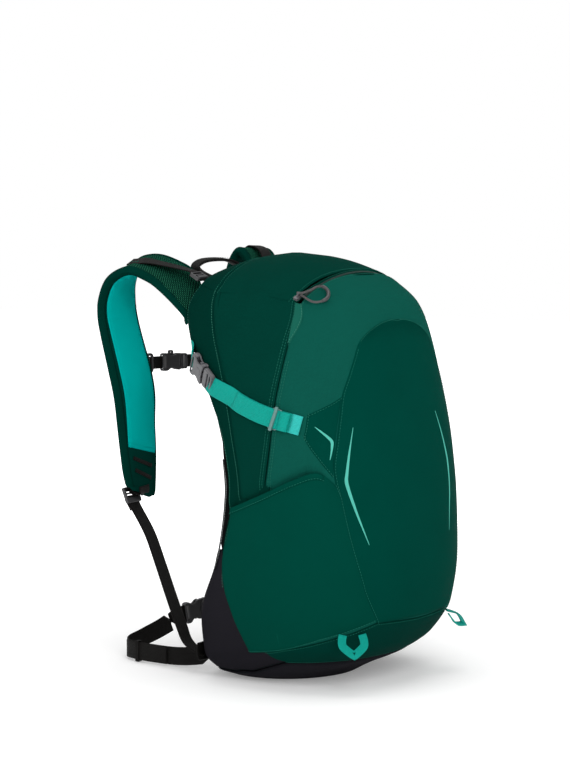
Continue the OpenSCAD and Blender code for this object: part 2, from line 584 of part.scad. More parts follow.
module ladder_lock_left() {
  color("black") place([-89.8, 224.2, 183.9], [0.05, -0.35, -0.93], [-0.1, 0.93, -0.35]) ladder_lock();
}
module ladder_lock_right() {
  color("black") place([89.8, 214.6, 174.9], [-0.05, -0.35, -0.93], [0.1, 0.93, -0.35]) ladder_lock();
}
web_foot = [-100, 119, 16];
module lower_web(path, foot) {
  all = concat(path, [skin(foot, -1.5)]);
  color("black") band(all, [for (p = all) [1, 0.1 * sign(-p.x), 0]], webbing, webbing_thick);
}
module lower_webbing_left() {
  lower_web(LEFT_WEB, web_foot);
}
module lower_webbing_right() {
  lower_web(RIGHT_WEB, flip(web_foot));
}

// Chest strap, drawn along +X from its middle and facing +Z, then set between the two straps
chest = [0, 230.5, 326];
chest_along = [83, -18, 1];
chest_facing = [0.21, 0.98, 0];
clip = [8, 20, 5];
clip_at = 42.9;
chest_web = 14;
buckle_from = -27;
buckle_to = -2;
plug_to = 8;
chest_end = 38.5;
module on_chest() {
  place(chest, chest_along, chest_facing) children();
}
module sternum_clips() {
  color("dimgray") on_chest() for (s = [-1, 1])
    translate([s * clip_at - clip.x / 2, -clip.y / 2, -clip.z / 2]) cube(clip);
}
buckle_gap = 0.3;
module sternum_webbing_left() {
  color("black") on_chest() translate([-chest_end, -chest_web / 2, -webbing_thick / 2])
    cube([chest_end + buckle_from - buckle_gap, chest_web, webbing_thick]);
}
module sternum_webbing_right() {
  color("black") on_chest() translate([plug_to + buckle_gap, -chest_web / 2, -webbing_thick / 2])
    cube([chest_end - plug_to - buckle_gap, chest_web, webbing_thick]);
}
shell = 1.6;
prong = [13, 2, 3];
module sternum_buckle() {
  long = buckle_to - buckle_from;
  color("dimgray") on_chest() translate([buckle_from, 0, 0]) {
    difference() {
      translate([0, -10, -3.5]) cube([long, 20, 7]);
      translate([8, -7, -3.5 + shell]) cube([long, 14, 7 - 2 * shell]);
    }
    translate([7, 13.5, 0]) rotate([90, 0, 0]) cylinder(d = 5.6, h = 4, $fn = 24);
  }
}
module sternum_plug() {
  color("dimgray") on_chest() {
    translate([buckle_to + buckle_gap, -9.5, -3.2]) cube([plug_to - buckle_to - buckle_gap, 19, 6.4]);
    for (s = [-5.4, 3.4]) translate([buckle_to - prong.x + 1, s, -prong.z / 2]) cube(prong);
  }
}

// Hip belt
hip_mid = [3, 211, 45];
hip_along = unit([0.96, -0.2, 0.18]);
hip_facing = [0.2, 0.98, 0];
hip_wide = 20;
hip_end = -17.4;
hip_start = 15.2;
hip_lead = 7;
hip_stand = 1.5;
hip_taper = 12;
hip_gathered = 3;
hip_root_left = skin([-85, 120, 14.5], -hip_stand);
hip_root_right = skin([85, 120, 14.5], -hip_stand);
HIP_LEFT = [hip_root_left, hip_root_left + [-0.5, hip_taper, -0.5], [-88, 152, 13], [-90, 172, 12], [-91, 209, 12], [-85, 234, 12], [-70, 246, 13],
  [-50, 243, 18], [-34, 230, 28], hip_mid + hip_along * (hip_end - hip_lead), hip_mid + hip_along * hip_end];
HIP_RIGHT = [hip_mid + hip_along * hip_start, hip_mid + hip_along * (hip_start + hip_lead),
  [48, 196, 46], [74, 175, 35], [82, 152, 20], hip_root_right + [0.5, hip_taper, 0.5], hip_root_right];
hip_across = cross(hip_facing, hip_along);
module hip_belt_left() {
  n = len(HIP_LEFT);
  color("black") band(HIP_LEFT, [for (i = [1:n]) i < n - 1 ? [0, 0, 1] : -hip_across],
    [for (i = [1:n]) i == 1 ? hip_gathered : hip_wide], webbing_thick);
}
module hip_belt_right() {
  n = len(HIP_RIGHT);
  color("black") band(HIP_RIGHT, [for (i = [1:n]) i > 2 ? [0, 0, 1] : -hip_across],
    [for (i = [1:n]) i == n ? hip_gathered : hip_wide], webbing_thick);
}
module hip_buckle() {
  color("black") place(hip_mid, hip_along, hip_facing) difference() {
    translate([-17, -12, -3.6]) cube([22, 24, 7.2]);
    translate([-8, -8.5, -2]) cube([14, 17, 4]);
  }
}
module hip_plug() {
  color("black") place(hip_mid, hip_along, hip_facing) {
    translate([5.3, -11.5, -3.2]) cube([9.5, 23, 6.4]);
    for (s = [-7.6, 5]) translate([-6, s, -1.6]) cube([12, 2.6, 3.2]);
  }
}

// Side compression straps
strap_lift = 0.2;
female = [24, 26, 7.5];
buckle_mid = [-122, 94, 330];
buckle_along = unit([-0.22, -0.8, -0.56]);
buckle_lift = 3.8;
plug_long = 17;
plug_gap = 0.3;
buckle_seat = skin(buckle_mid, -buckle_lift);
function on_buckle(x) = buckle_seat + buckle_along * x;
PULL = [[-132.5, 48, 304], [-133, 30, 296], [-134, 10, 289], [-131, -8, 284], [-126, -25, 280], [-121, -36, 277]];
pull_steps = 15;
TAB = [skin([-111, 117, 351], -0.5), skin([-113.5, 113, 347.5], -0.7),
  on_buckle(-female.x / 2 - 4), on_buckle(-female.x / 2 - 0.5)];
module side_webbing(path) {
  color("turquoise")
  band(path, [for (i = [0:len(path) - 1]) cross(tangent(path, i), outward(path[i]))], webbing, webbing_thick);
}
module compression_strap_left() {
  start = female.x / 2 + plug_gap + plug_long + 0.6;
  side_webbing(concat([on_buckle(start), on_buckle(start + 3)],
    [for (i = [0:pull_steps]) skin(spline(PULL, i / pull_steps), -strap_lift)]));
}
module compression_tab_left() {
  side_webbing(TAB);
}
module compression_buckle_left() {
  color("gray") place(buckle_seat, buckle_along, outward(buckle_mid)) difference() {
    translate([-female.x / 2, -female.y / 2, -female.z / 2]) cube(female);
    translate([-female.x / 2 + 8, -female.y / 2 + 3, -2]) cube([female.x, female.y - 6, 4]);
  }
}
module compression_plug_left() {
  color("gray") place(buckle_seat, buckle_along, outward(buckle_mid)) {
    translate([female.x / 2 + plug_gap, -12.5, -1.2]) cube([plug_long, 25, 4.6]);
    for (s = [-9, 6.4]) translate([-2, s, -1.2]) cube([female.x / 2 + 3, 2.6, 3]);
  }
}
glide = [6, 26, 3.2];
glide_at = [-130.5, -10, 283.5];
module tri_glide_left() {
  p = skin(glide_at, 0);
  along = [0.14, -0.95, -0.28];
  color("turquoise") place(skin(glide_at, -(strap_lift + webbing_thick / 2 + 0.4)), along, outward(p))
    translate([-glide.x / 2, -glide.y / 2, 0]) cube(glide);
}

module rear_band_right() {
  mirrored() rear_band_left();
}
module side_panel_right() {
  mirrored() side_panel_left();
}
module wing_right() {
  mirrored() wing_left();
}
module side_pocket_right() {
  mirrored() side_pocket_left();
}
module zip_garage_right() {
  mirrored() zip_garage_left();
}
module compression_tab_right() {
  mirrored() compression_tab_left();
}
module compression_buckle_right() {
  mirrored() compression_buckle_left();
}
module compression_plug_right() {
  mirrored() compression_plug_left();
}
module compression_strap_right() {
  mirrored() compression_strap_left();
}
module tri_glide_right() {
  mirrored() tri_glide_left();
}

back_panel();
frame_sheet();
yoke_panel();
rear_band_left();
rear_band_right();
side_panel_left();
side_panel_right();
top_panel();
front_panel();
shield();
wing_left();
wing_right();
side_pocket_left();
side_pocket_right();
front_base_panel();
base_panel();
lower_back_panel();
zip_tape_body();
zip_garage_left();
zip_garage_right();
front_flap();
shield_top();
zip_tape_flap();
zip_slider();
zip_puller();
haul_loop();
tool_loop_left();
tool_loop_right();
shoulder_strap_left();
shoulder_strap_right();
strap_lining_left();
strap_lining_right();
load_lifter_left();
load_lifter_right();
lifter_buckle_left();
lifter_buckle_right();
ladder_lock_left();
ladder_lock_right();
lower_webbing_left();
lower_webbing_right();
sternum_webbing_left();
sternum_webbing_right();
sternum_clips();
sternum_buckle();
sternum_plug();
hip_belt_left();
hip_belt_right();
hip_buckle();
hip_plug();
compression_tab_left();
compression_tab_right();
compression_buckle_left();
compression_buckle_right();
compression_plug_left();
compression_plug_right();
compression_strap_left();
compression_strap_right();
tri_glide_left();
tri_glide_right();
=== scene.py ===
"""Look of the hiking backpack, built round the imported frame. Lengths in the helpers are millimetres."""
import bpy
import math
import numpy as np
from mathutils import Matrix, Vector, noise


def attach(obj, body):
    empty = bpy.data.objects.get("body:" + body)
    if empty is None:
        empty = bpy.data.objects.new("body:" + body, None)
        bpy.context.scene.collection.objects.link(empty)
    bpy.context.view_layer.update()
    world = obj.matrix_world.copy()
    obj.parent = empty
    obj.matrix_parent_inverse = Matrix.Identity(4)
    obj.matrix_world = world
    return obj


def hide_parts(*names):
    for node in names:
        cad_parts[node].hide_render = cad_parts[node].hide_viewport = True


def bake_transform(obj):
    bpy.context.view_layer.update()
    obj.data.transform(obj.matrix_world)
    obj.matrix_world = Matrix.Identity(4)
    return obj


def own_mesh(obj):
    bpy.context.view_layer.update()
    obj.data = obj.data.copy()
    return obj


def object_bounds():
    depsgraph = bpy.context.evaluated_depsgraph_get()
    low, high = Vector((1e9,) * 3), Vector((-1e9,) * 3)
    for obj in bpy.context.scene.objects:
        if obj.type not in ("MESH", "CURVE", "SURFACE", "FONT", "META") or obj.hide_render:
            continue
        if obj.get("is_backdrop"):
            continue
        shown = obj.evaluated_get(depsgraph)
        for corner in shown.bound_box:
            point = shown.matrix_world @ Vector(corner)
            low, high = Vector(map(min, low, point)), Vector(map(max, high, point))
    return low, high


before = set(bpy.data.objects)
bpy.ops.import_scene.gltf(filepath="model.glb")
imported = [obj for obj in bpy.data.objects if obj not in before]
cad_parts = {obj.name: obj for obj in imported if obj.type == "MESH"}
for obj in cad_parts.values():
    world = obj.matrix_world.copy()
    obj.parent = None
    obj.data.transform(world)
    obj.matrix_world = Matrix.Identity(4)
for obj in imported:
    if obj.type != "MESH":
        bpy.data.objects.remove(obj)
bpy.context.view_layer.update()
MM = 0.001
A = np.array
WHITE = (1, 1, 1, 1)


# ---- node trees
class Tree:
    """a node tree, cleared and filled again"""

    def __init__(self, tree):
        self.t = tree
        tree.nodes.clear()

    def add(self, kind, **props):
        n = self.t.nodes.new("ShaderNode" + kind)
        for k, v in props.items():
            if hasattr(n, k):
                setattr(n, k, v)
            else:
                n.inputs[k].default_value = v
        return n

    def link(self, a, b):
        self.t.links.new(a, b)


class Surface(Tree):
    """a material with a principled shader and the helpers that feed it"""

    def __init__(self, name):
        self.m = bpy.data.materials.new(name)
        self.m.use_nodes = True
        super().__init__(self.m.node_tree)
        out = self.add("OutputMaterial")
        self.bsdf = self.add("BsdfPrincipled")
        self.link(self.bsdf.outputs[0], out.inputs[0])

    def coord(self, kind):
        return self.add("TexCoord").outputs[kind]

    def math(self, op, a, b=0.0):
        n = self.add("Math", operation=op)
        for i, v in enumerate((a, b)):
            if hasattr(v, "links"):
                self.link(v, n.inputs[i])
            else:
                n.inputs[i].default_value = v
        return n.outputs[0]

    def plus(self, a, b):
        return self.math("ADD", a, b)

    def times(self, a, b):
        return self.math("MULTIPLY", a, b)

    def wave(self, coord, axis, period):
        s = self.add("SeparateXYZ")
        self.link(coord, s.inputs[0])
        return self.math("SINE", self.times(s.outputs[axis], 2 * math.pi / period))

    def noise(self, coord, scale, detail=2.0):
        n = self.add("TexNoise", Scale=scale, Detail=detail, Roughness=0.5)
        self.link(coord, n.inputs["Vector"])
        return n.outputs["Fac"]

    def spread(self, fac, low, high):
        """low to high as fac goes from 0 to 1"""
        ramp = self.add("MapRange", **{"To Min": low, "To Max": high})
        self.link(fac, ramp.inputs["Value"])
        return ramp.outputs[0]

    def shade(self, rgb, fac, low, high):
        """the colour times low to high as fac goes from 0 to 1"""
        factor = self.spread(fac, low, high)
        mix = self.add("VectorMath", operation="SCALE")
        mix.inputs[0].default_value = rgb[:3]
        self.link(factor, mix.inputs["Scale"])
        return mix.outputs[0]

    def finish(self, colour, spec, height, depth, rough=None, ior=None):
        """the shader's inputs and its bump"""
        self.link(colour, self.bsdf.inputs["Base Color"])
        for key, v in (("Specular IOR Level", spec), ("Roughness", rough), ("IOR", ior)):
            if v is not None:
                self.bsdf.inputs[key].default_value = v
        bump = self.add("Bump", Distance=depth, Strength=1.0)
        self.link(height, bump.inputs["Height"])
        self.link(bump.outputs[0], self.bsdf.inputs["Normal"])
        return self.m


# ---- camera, light, floor
VIEW_SIDE, VIEW_UP = math.radians(-52), math.radians(6.4)
VIEW_FAR, VIEW_AIM = 2400.0, Vector((0, 60, 220))
FOCAL = 2400 / 1.083  # in picture rows; the aim shows at 1.083 mm to a row
PICTURE_ROWS, SENSOR = 760, 36
AIM_ASIDE, AIM_BELOW = 15, 85  # where the aim shows, in rows off the middle


def camera():
    level = math.cos(VIEW_UP)
    back = Vector((math.sin(VIEW_SIDE) * level, -math.cos(VIEW_SIDE) * level, math.sin(VIEW_UP)))
    right = Vector((math.cos(VIEW_SIDE), math.sin(VIEW_SIDE), 0))
    yaw, pitch = math.atan2(AIM_ASIDE, FOCAL), math.atan2(AIM_BELOW, FOCAL)
    ahead = (-back * math.cos(yaw) - right * math.sin(yaw)).normalized()
    right = ahead.cross(Vector((0, 0, 1))).normalized()
    up = right.cross(ahead)
    ahead = ahead * math.cos(pitch) + up * math.sin(pitch)
    data = bpy.data.cameras.new("camera")
    data.sensor_fit = "VERTICAL"
    data.sensor_height = SENSOR
    data.lens = FOCAL * SENSOR / PICTURE_ROWS
    data.clip_end = 50
    cam = bpy.data.objects.new("camera", data)
    bpy.context.collection.objects.link(cam)
    m = Matrix((right, right.cross(ahead), -ahead)).transposed().to_4x4()
    m.translation = (VIEW_AIM + back * VIEW_FAR) * MM
    cam.matrix_world = m
    bpy.context.scene.camera = cam
    bpy.context.scene.view_settings.view_transform = "Standard"


def area(name, at, to, size, power):
    data = bpy.data.lights.new(name, "AREA")
    data.shape = "RECTANGLE"
    data.size = data.size_y = size
    data.energy = power
    o = bpy.data.objects.new(name, data)
    bpy.context.collection.objects.link(o)
    o.location = at
    o.rotation_euler = (Vector(to) - Vector(at)).to_track_quat("-Z", "Y").to_euler()


def studio():
    world = bpy.data.worlds.new("world")
    bpy.context.scene.world = world
    world.use_nodes = True
    t = Tree(world.node_tree)
    out, mix, path = t.add("OutputWorld"), t.add("MixShader"), t.add("LightPath")
    soft, seen = (t.add("Background", Color=WHITE, Strength=s) for s in (0.5, 1.0))
    for a, b in zip((path.outputs["Is Camera Ray"], soft.outputs[0], seen.outputs[0]), mix.inputs):
        t.link(a, b)
    t.link(mix.outputs[0], out.inputs[0])
    area("key", (-1.6, -2.2, 1.9), (0, 0, 0.25), 1.6, 42)
    area("fill", (-2.6, 0.6, 1.2), (0, 0, 0.25), 1.6, 12)
    area("top", (0.2, 0.1, 2.6), (0, 0, 0.2), 2.2, 33)
    bpy.ops.mesh.primitive_grid_add(x_subdivisions=8, y_subdivisions=8, size=14, location=(0, 0, -0.0006))
    floor = bpy.context.object
    floor.name = "floor"
    m = bpy.data.materials.new("floor")
    m.use_nodes = True
    n = Tree(m.node_tree)
    out = n.add("OutputMaterial")
    shade = n.add("BsdfDiffuse", Color=(0.86, 0.86, 0.86, 1))
    glow = n.add("Emission", Color=WHITE)
    place = n.add("NewGeometry")
    far = n.add("VectorMath", operation="LENGTH")
    # the floor glows up to white with the distance from the bag
    fade = n.add("MapRange", interpolation_type="SMOOTHSTEP",
                 **{"From Min": 0.30, "From Max": 1.3, "To Min": 0.22, "To Max": 1.1})
    both_shaders = n.add("AddShader")
    n.link(place.outputs["Position"], far.inputs[0])
    n.link(far.outputs["Value"], fade.inputs["Value"])
    n.link(fade.outputs[0], glow.inputs["Strength"])
    n.link(shade.outputs[0], both_shaders.inputs[0])
    n.link(glow.outputs[0], both_shaders.inputs[1])
    n.link(both_shaders.outputs[0], out.inputs[0])
    floor.data.materials.append(m)
    floor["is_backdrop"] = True


# ---- materials
def srgb(*rgb):
    v = A(rgb) / 255
    return tuple(np.where(v <= 0.04045, v / 12.92, ((v + 0.055) / 1.055) ** 2.4)) + (1,)


def cloth(name, rgb, rough=0.55, thread=0.9, depth=0.00012, vary=0.12, rip=0.0):
    """plain woven cloth, with a ripstop grid where rip is set; its threads follow the UV map, which is in metres"""
    n = Surface(name)
    uv, obj = n.coord("UV"), n.coord("Object")
    weave = n.times(n.wave(uv, 0, thread * MM), n.wave(uv, 1, thread * MM))
    fine, broad = n.noise(uv, 900, 3), n.noise(obj, 22, 3)
    tone = n.plus(n.times(weave, 0.16), n.plus(n.times(fine, 0.5), n.times(broad, 0.5)))
    colour = n.shade(rgb, tone, 1 - vary, 1 + vary)
    height = n.plus(weave, n.times(fine, 1.3))
    if rip:
        grid = n.math("MAXIMUM", n.wave(uv, 0, rip * MM), n.wave(uv, 1, rip * MM))
        height = n.plus(height, n.times(n.math("POWER", n.math("MAXIMUM", grid, 0.0), 12.0), 1.4))
    return n.finish(colour, 0.03, height, depth, rough, 1.12)


def web(name, rgb, rib=1.5, vary=0.2):
    """webbing: ribs along its length (U) and picks across (V)"""
    n = Surface(name)
    uv, obj = n.coord("UV"), n.coord("Object")
    ribs, picks = n.wave(uv, 1, rib * MM), n.wave(uv, 0, rib * 0.8 * MM)
    height = n.plus(ribs, n.times(n.times(ribs, picks), 0.8))
    fine = n.noise(obj, 500)
    tone = n.plus(n.times(height, 0.22), fine)
    return n.finish(n.shade(rgb, tone, 1 - vary, 1 + vary), 0.08, height, 0.00018, 0.5)


def mesh_cloth(name, rgb, hole, size):
    """spacer mesh: a hexagon-like lattice of small holes"""
    n = Surface(name)
    uv, obj = n.coord("UV"), n.coord("Object")
    v = n.add("TexVoronoi", feature="F1", Scale=1000 / size, Randomness=0.12)
    n.link(uv, v.inputs["Vector"])
    pit = n.add("MapRange", interpolation_type="SMOOTHSTEP", **{"From Min": 0.22, "From Max": 0.42})
    n.link(v.outputs["Distance"], pit.inputs["Value"])
    mix = n.add("Mix", data_type="RGBA", A=hole)
    n.link(pit.outputs[0], mix.inputs["Factor"])
    n.link(n.shade(rgb, n.noise(obj, 60, 3), 0.8, 1.2), mix.inputs["B"])
    return n.finish(mix.outputs["Result"], 0.05, pit.outputs[0], 0.0005, 0.7, 1.15)


def plastic(name, rgb, rough=0.38):
    n = Surface(name)
    obj = n.coord("Object")
    fine, broad = n.noise(obj, 1400), n.noise(obj, 90, 3)
    colour = n.shade(rgb, broad, 0.85, 1.15)
    n.link(n.spread(broad, rough - 0.07, rough + 0.09), n.bsdf.inputs["Roughness"])
    return n.finish(colour, 0.45, fine, 0.00004)


MAT = {
    "pack": cloth("nylon_green", srgb(12, 78, 67), rip=5.2),
    "side": cloth("nylon_side", srgb(2, 53, 44), rip=5.2),
    "light": cloth("nylon_light", srgb(24, 90, 76), rip=5.2),
    "shield": cloth("nylon_shield", srgb(0, 61, 51)),
    "trim": cloth("nylon_trim", srgb(1, 45, 37)),
    "lower": cloth("nylon_lower", srgb(1, 51, 43)),
    "pocket": cloth("nylon_pocket", srgb(1, 64, 53)),
    "base": cloth("nylon_base", srgb(33, 32, 37), thread=1.3, depth=0.0002),
    "strap": cloth("strap_green", srgb(2, 52, 44)),
    "strap_mesh": mesh_cloth("strap_mesh", srgb(1, 33, 27), srgb(34, 96, 72), 2.6),
    "edge_mesh": mesh_cloth("edge_mesh", srgb(16, 16, 17), srgb(132, 136, 136), 1.7),
    "lining": cloth("lining_teal", srgb(0, 171, 166), rough=0.8, thread=1.1, vary=0.07),
    "black_web": web("black_webbing", srgb(19, 18, 17)),
    "bright_web": web("bright_webbing", srgb(8, 150, 136), vary=0.1),
    # a lighter copy of the bright webbing's colour: a painted highlight for the strap ends that face the light
    "painted_highlight_end": web("painted_highlight_end", srgb(48, 178, 170), vary=0.1),
    "back_mesh": mesh_cloth("back_mesh", srgb(24, 24, 25), srgb(5, 5, 6), 2.6),
    "black_plastic": plastic("black_plastic", srgb(50, 50, 52)),
    "grey_plastic": plastic("grey_plastic", srgb(74, 74, 77)),
    "glide": plastic("glide_plastic", srgb(84, 120, 116)),
    "cord": web("grey_cord", srgb(92, 90, 90), rib=0.8),
    "thread": cloth("thread", srgb(40, 112, 95), thread=0.4, depth=0.00003),
    "thread_bright": cloth("thread_bright", srgb(64, 132, 114), thread=0.4, depth=0.00003),
    "dark_thread": cloth("dark_thread", srgb(10, 30, 27), thread=0.4, depth=0.00003),
    "accent": cloth("accent", srgb(78, 172, 156), rough=0.35, thread=0.5, depth=0.00002, vary=0.05),
    "coil": plastic("zip_coil", srgb(5, 42, 35), rough=0.45),
}

# ---- the bag's shape
# each row: height, half width, y of the front, back and widest place, roundness of the front and of the back
SHAPE = A([
    [0, 78, -1, 108, 70, 2.0, 3.0], [8, 98, -14, 120, 64, 2.1, 3.5], [22, 112, -46, 124, 50, 2.2, 4.5],
    [45, 124, -78, 122, 34, 2.4, 4.5], [80, 136, -99, 112, 27, 2.4, 4.5], [130, 140, -105, 86, 25, 2.4, 4.5],
    [190, 140, -103, 71, 25, 2.4, 4.2], [250, 137, -95, 77, 28, 2.5, 4.2], [310, 131, -83, 107, 38, 2.6, 4.2],
    [360, 121, -73, 142, 48, 2.7, 4.2], [395, 107, -61, 156, 55, 2.8, 4.0], [420, 86, -38, 150, 60, 2.7, 3.5],
    [436, 60, -8, 126, 60, 2.5, 3.0], [446, 32, 24, 96, 60, 2.2, 2.4], [450, 6, 60, 70, 64, 2.0, 2.0]], float)
HEIGHT = SHAPE[:, 0]
STEEP = np.diff(SHAPE, axis=0) / np.diff(HEIGHT)[:, None]
with np.errstate(divide="ignore", invalid="ignore"):
    SLOPE = np.where(STEEP[:-1] * STEEP[1:] > 0, 2 * STEEP[:-1] * STEEP[1:] / (STEEP[:-1] + STEEP[1:]), 0)
SLOPE = np.vstack([STEEP[:1], SLOPE, STEEP[-1:]])
TOP = 450  # height of the bag's crown
CORE_Y, CORE_Z = 20, (120, 330)  # the upright line inside the bag from which its skin is looked for
REACH, HALVINGS = 400.0, 22  # farthest skin from that line, and the steps of the search
FINE, BROAD = (7.0, 3.1), (46.0, 9.7)  # size and seed of the cloth's puckers and of its slow waves


def unit(v):
    """the vectors in v, each at length one"""
    v = A(v, float)
    return v / (np.linalg.norm(v, axis=-1, keepdims=True) + 1e-9)


def ease(t):
    t = np.clip(t, 0, 1)
    return t * t * (3 - 2 * t)


def lerp(a, b, t):
    return a + (b - a) * t


def look(rows, x):
    rows = A(rows, float)
    return np.interp(x, rows[:, 0], rows[:, 1])


def section(z):
    c = np.clip(z, 0, TOP)
    i = np.clip(np.searchsorted(HEIGHT, c, "right") - 1, 0, len(HEIGHT) - 2)
    h = HEIGHT[i + 1] - HEIGHT[i]
    s = (c - HEIGHT[i]) / h
    s2, s3 = s * s, s * s * s
    e = lambda v: v[..., None]
    return (SHAPE[i] * e(2 * s3 - 3 * s2 + 1) + SLOPE[i] * e(h * (s3 - 2 * s2 + s))
            + SHAPE[i + 1] * e(3 * s2 - 2 * s3) + SLOPE[i + 1] * e(h * (s3 - s2)))
def half(t, front):
    """roundness and depth of the front or back half of an outline"""
    return np.where(front, t[..., 5], t[..., 6]), np.where(front, t[..., 4] - t[..., 2], t[..., 3] - t[..., 4])


def within(p):
    t = section(p[..., 2])
    n, deep = half(t, p[..., 1] < t[..., 4])
    f = (np.abs(p[..., 0]) / t[..., 1]) ** n + (np.abs(p[..., 1] - t[..., 4]) / deep) ** n
    return (f < 1) & (p[..., 2] > 0) & (p[..., 2] < TOP)


def core(p):
    """for each point the one inside the bag from which its skin is looked for"""
    c = np.zeros_like(p)
    c[..., 1] = CORE_Y
    c[..., 2] = np.clip(p[..., 2], *CORE_Z)
    return c


def skin(p, deep=0.0):
    """the points moved onto the bag's skin, then deep below it"""
    p = A(p, float)
    c = core(p)
    d = unit(p - c)
    low, high = np.zeros(p.shape[:-1]), np.full(p.shape[:-1], REACH)
    for _ in range(HALVINGS):
        m = (low + high) / 2
        inside = within(c + d * m[..., None])
        low, high = np.where(inside, m, low), np.where(inside, high, m)
    return c + d * (low - deep)[..., None]


def spline(p, t):
    p, t = A(p, float), np.atleast_1d(A(t, float))
    n = len(p) - 1
    s = np.clip(t, 0, 1) * n
    i = np.minimum(np.floor(s).astype(int), n - 1)
    f = (s - i)[(...,) + (None,) * (p.ndim - 1)]
    a, b, c, d = p[np.maximum(i - 1, 0)], p[i], p[i + 1], p[np.minimum(i + 2, n)]
    return b + 0.5 * f * (c - a + f * (2 * a - 5 * b + 4 * c - d + f * (3 * (b - c) + d - a)))


def flip(p):
    return A(p, float) * A([-1, 1, 1])


def both(half):
    return np.vstack([A(half, float), flip(half)[::-1][1:]])
def rim(a, z):
    a, z = np.broadcast_arrays(A(a, float), A(z, float))
    t = section(z)
    c, s = np.cos(np.radians(a)), np.sin(np.radians(a))
    n, deep = half(t, s < 0)
    k = ((np.abs(c) / t[..., 1]) ** n + (np.abs(s) / deep) ** n) ** (-1 / n)
    return np.stack([k * c, t[..., 4] + k * s, z], -1)


def front_at(x, z):
    x, z = np.broadcast_arrays(A(x, float), A(z, float))
    t = section(z)
    r = np.maximum(0, 1 - (np.abs(x) / t[..., 1]) ** t[..., 5]) ** (1 / t[..., 5])
    return np.stack([x, t[..., 4] - (t[..., 4] - t[..., 2]) * r, z], -1)


def angle_of(p):
    return np.degrees(np.arctan2(p[..., 1] - section(p[..., 2])[..., 4], p[..., 0]))


# seams of the left side, from the crown down: the front one, the double one and the back edge
RIDGE = A([[-95, -10, 400], [-104, -14, 383], [-113, -13, 363], [-122, -10, 331], [-128, -7, 303],
           [-134, -5, 264], [-138, 0, 208], [-139, 0, 150], [-138, 0, 100], [-124, -2, 46]], float)
REAR_SEAM = A([[-96, 97, 409], [-109, 91, 391], [-119, 80, 366], [-127, 64, 332], [-132, 53, 303],
               [-136, 42, 264], [-140, 29, 208], [-139, 31, 150], [-137, 36, 100], [-124, 38, 46]], float)
BACK_EDGE = A([[-80, 147, 414], [-93, 147, 394], [-105, 132, 362], [-114, 112, 332], [-123, 91, 303],
               [-131, 62, 264], [-138, 47, 208], [-138, 55, 150], [-138, 57, 100], [-124, 44, 46]], float)
FOLD = 358.0  # height of the line where the mouth's flap folds
DEEP = 1.5  # depth of the main cloths below the outline
# the zip runs on a circle in a plane that leans forward
ZIP_MID, ZIP_R, ZIP_LEAN = A([0, 34.6, 283.7]), 156.6, math.radians(21)
ZIP_AXIS = A([0, math.cos(ZIP_LEAN), math.sin(ZIP_LEAN)])


def zip_out(a):
    a = np.radians(A(a, float))
    return np.stack([np.sin(a), -math.sin(ZIP_LEAN) * np.cos(a), math.cos(ZIP_LEAN) * np.cos(a)], -1)


def zip_at(a, aside):
    return ZIP_MID + ZIP_R * zip_out(a) + np.asarray(aside)[..., None] * ZIP_AXIS


# back edge and front seam as angles by height
edge_skin = skin(spline(BACK_EDGE, np.linspace(0, 1, 37)))
order = np.argsort(edge_skin[:, 2])
BACK_ANGLE = np.stack([edge_skin[order, 2], 180 - angle_of(edge_skin)[order]], 1)
RIDGE_ANGLE = np.stack([RIDGE[::-1, 2], angle_of(RIDGE)[::-1]], 1)
# seam heights: boot and yoke by distance from the middle of the back, the others by angle from the front
FOOT = [[0, 58], [60, 66], [104, 87], [126, 118], [138, 146]]
BACK_TOP = [[0, 423], [0.3, 422], [0.6, 419], [0.8, 417], [1, 413]]
FRONT_SEAM = [[0, 71], [28, 73], [33, 69], [39, 64], [45, 60], [53, 54], [60, 49], [75, 41], [90, 37]]
BASE_TOP = [[0, 27], [65, 27], [80, 11], [95, 9], [180, 7]]


def front_seam(a):
    return look(FRONT_SEAM, np.abs(a + 90))


def base_top(a):
    a = np.where(a > 180, a - 360, a)
    return look(BASE_TOP, np.abs(a + 90))


def recess(p):
    mouth = np.clip(206 - 0.5 * (p[..., 1] - 4), 186, 243)
    return (7.6 * ease((mouth + 12 - p[..., 2]) / 20) * ease((p[..., 2] - 62) / 20)
            * ease((p[..., 1] + 62) / 20) * ease((58 - p[..., 1]) / 20))


def rails_grid(rails, rows, cols, trim=(0, 1, 0, 1)):
    s = lerp(trim[2], trim[3], np.linspace(0, 1, cols + 1))
    t = lerp(trim[0], trim[1], np.linspace(0, 1, rows + 1))
    lines = np.stack([spline(r, s) for r in rails], 0)
    return spline(lines, t)
# ---- mesh making
def lengths(path):
    """distance from the start to each point of a path"""
    return np.concatenate([[0], np.cumsum(np.linalg.norm(np.diff(path, axis=0), axis=1))])


def at_lengths(t, s, path):
    return np.stack([np.interp(t, s, path[:, k]) for k in range(3)], 1)


def add_mesh(name, verts, faces, mat, body=None, slot=None, uv=None, smooth=True, nodes=()):
    me = bpy.data.meshes.new(name)
    me.from_pydata([tuple(v) for v in np.asarray(verts, float) * MM], [], [tuple(int(i) for i in f) for f in faces])
    if uv is not None:
        layer = me.uv_layers.new(name="UVMap")
        idx = np.empty(len(me.loops), int)
        me.loops.foreach_get("vertex_index", idx)
        layer.data.foreach_set("uv", (np.asarray(uv, float)[idx] * MM).ravel())
    me.materials.append(MAT[mat])
    me.polygons.foreach_set("use_smooth", [smooth] * len(me.polygons))
    me.validate()
    me.update()
    o = bpy.data.objects.new(name, me)
    bpy.context.collection.objects.link(o)
    if body:
        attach(o, body)
    if nodes:
        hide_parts(*nodes)
    return o


def normals(P):
    """outward directions of a grid of points"""
    n = unit(np.cross(np.gradient(P, axis=1), np.gradient(P, axis=0)))
    side = np.sign(((P - core(P)) * n).sum(-1, keepdims=True))
    return n * np.where(side == 0, 1, side)


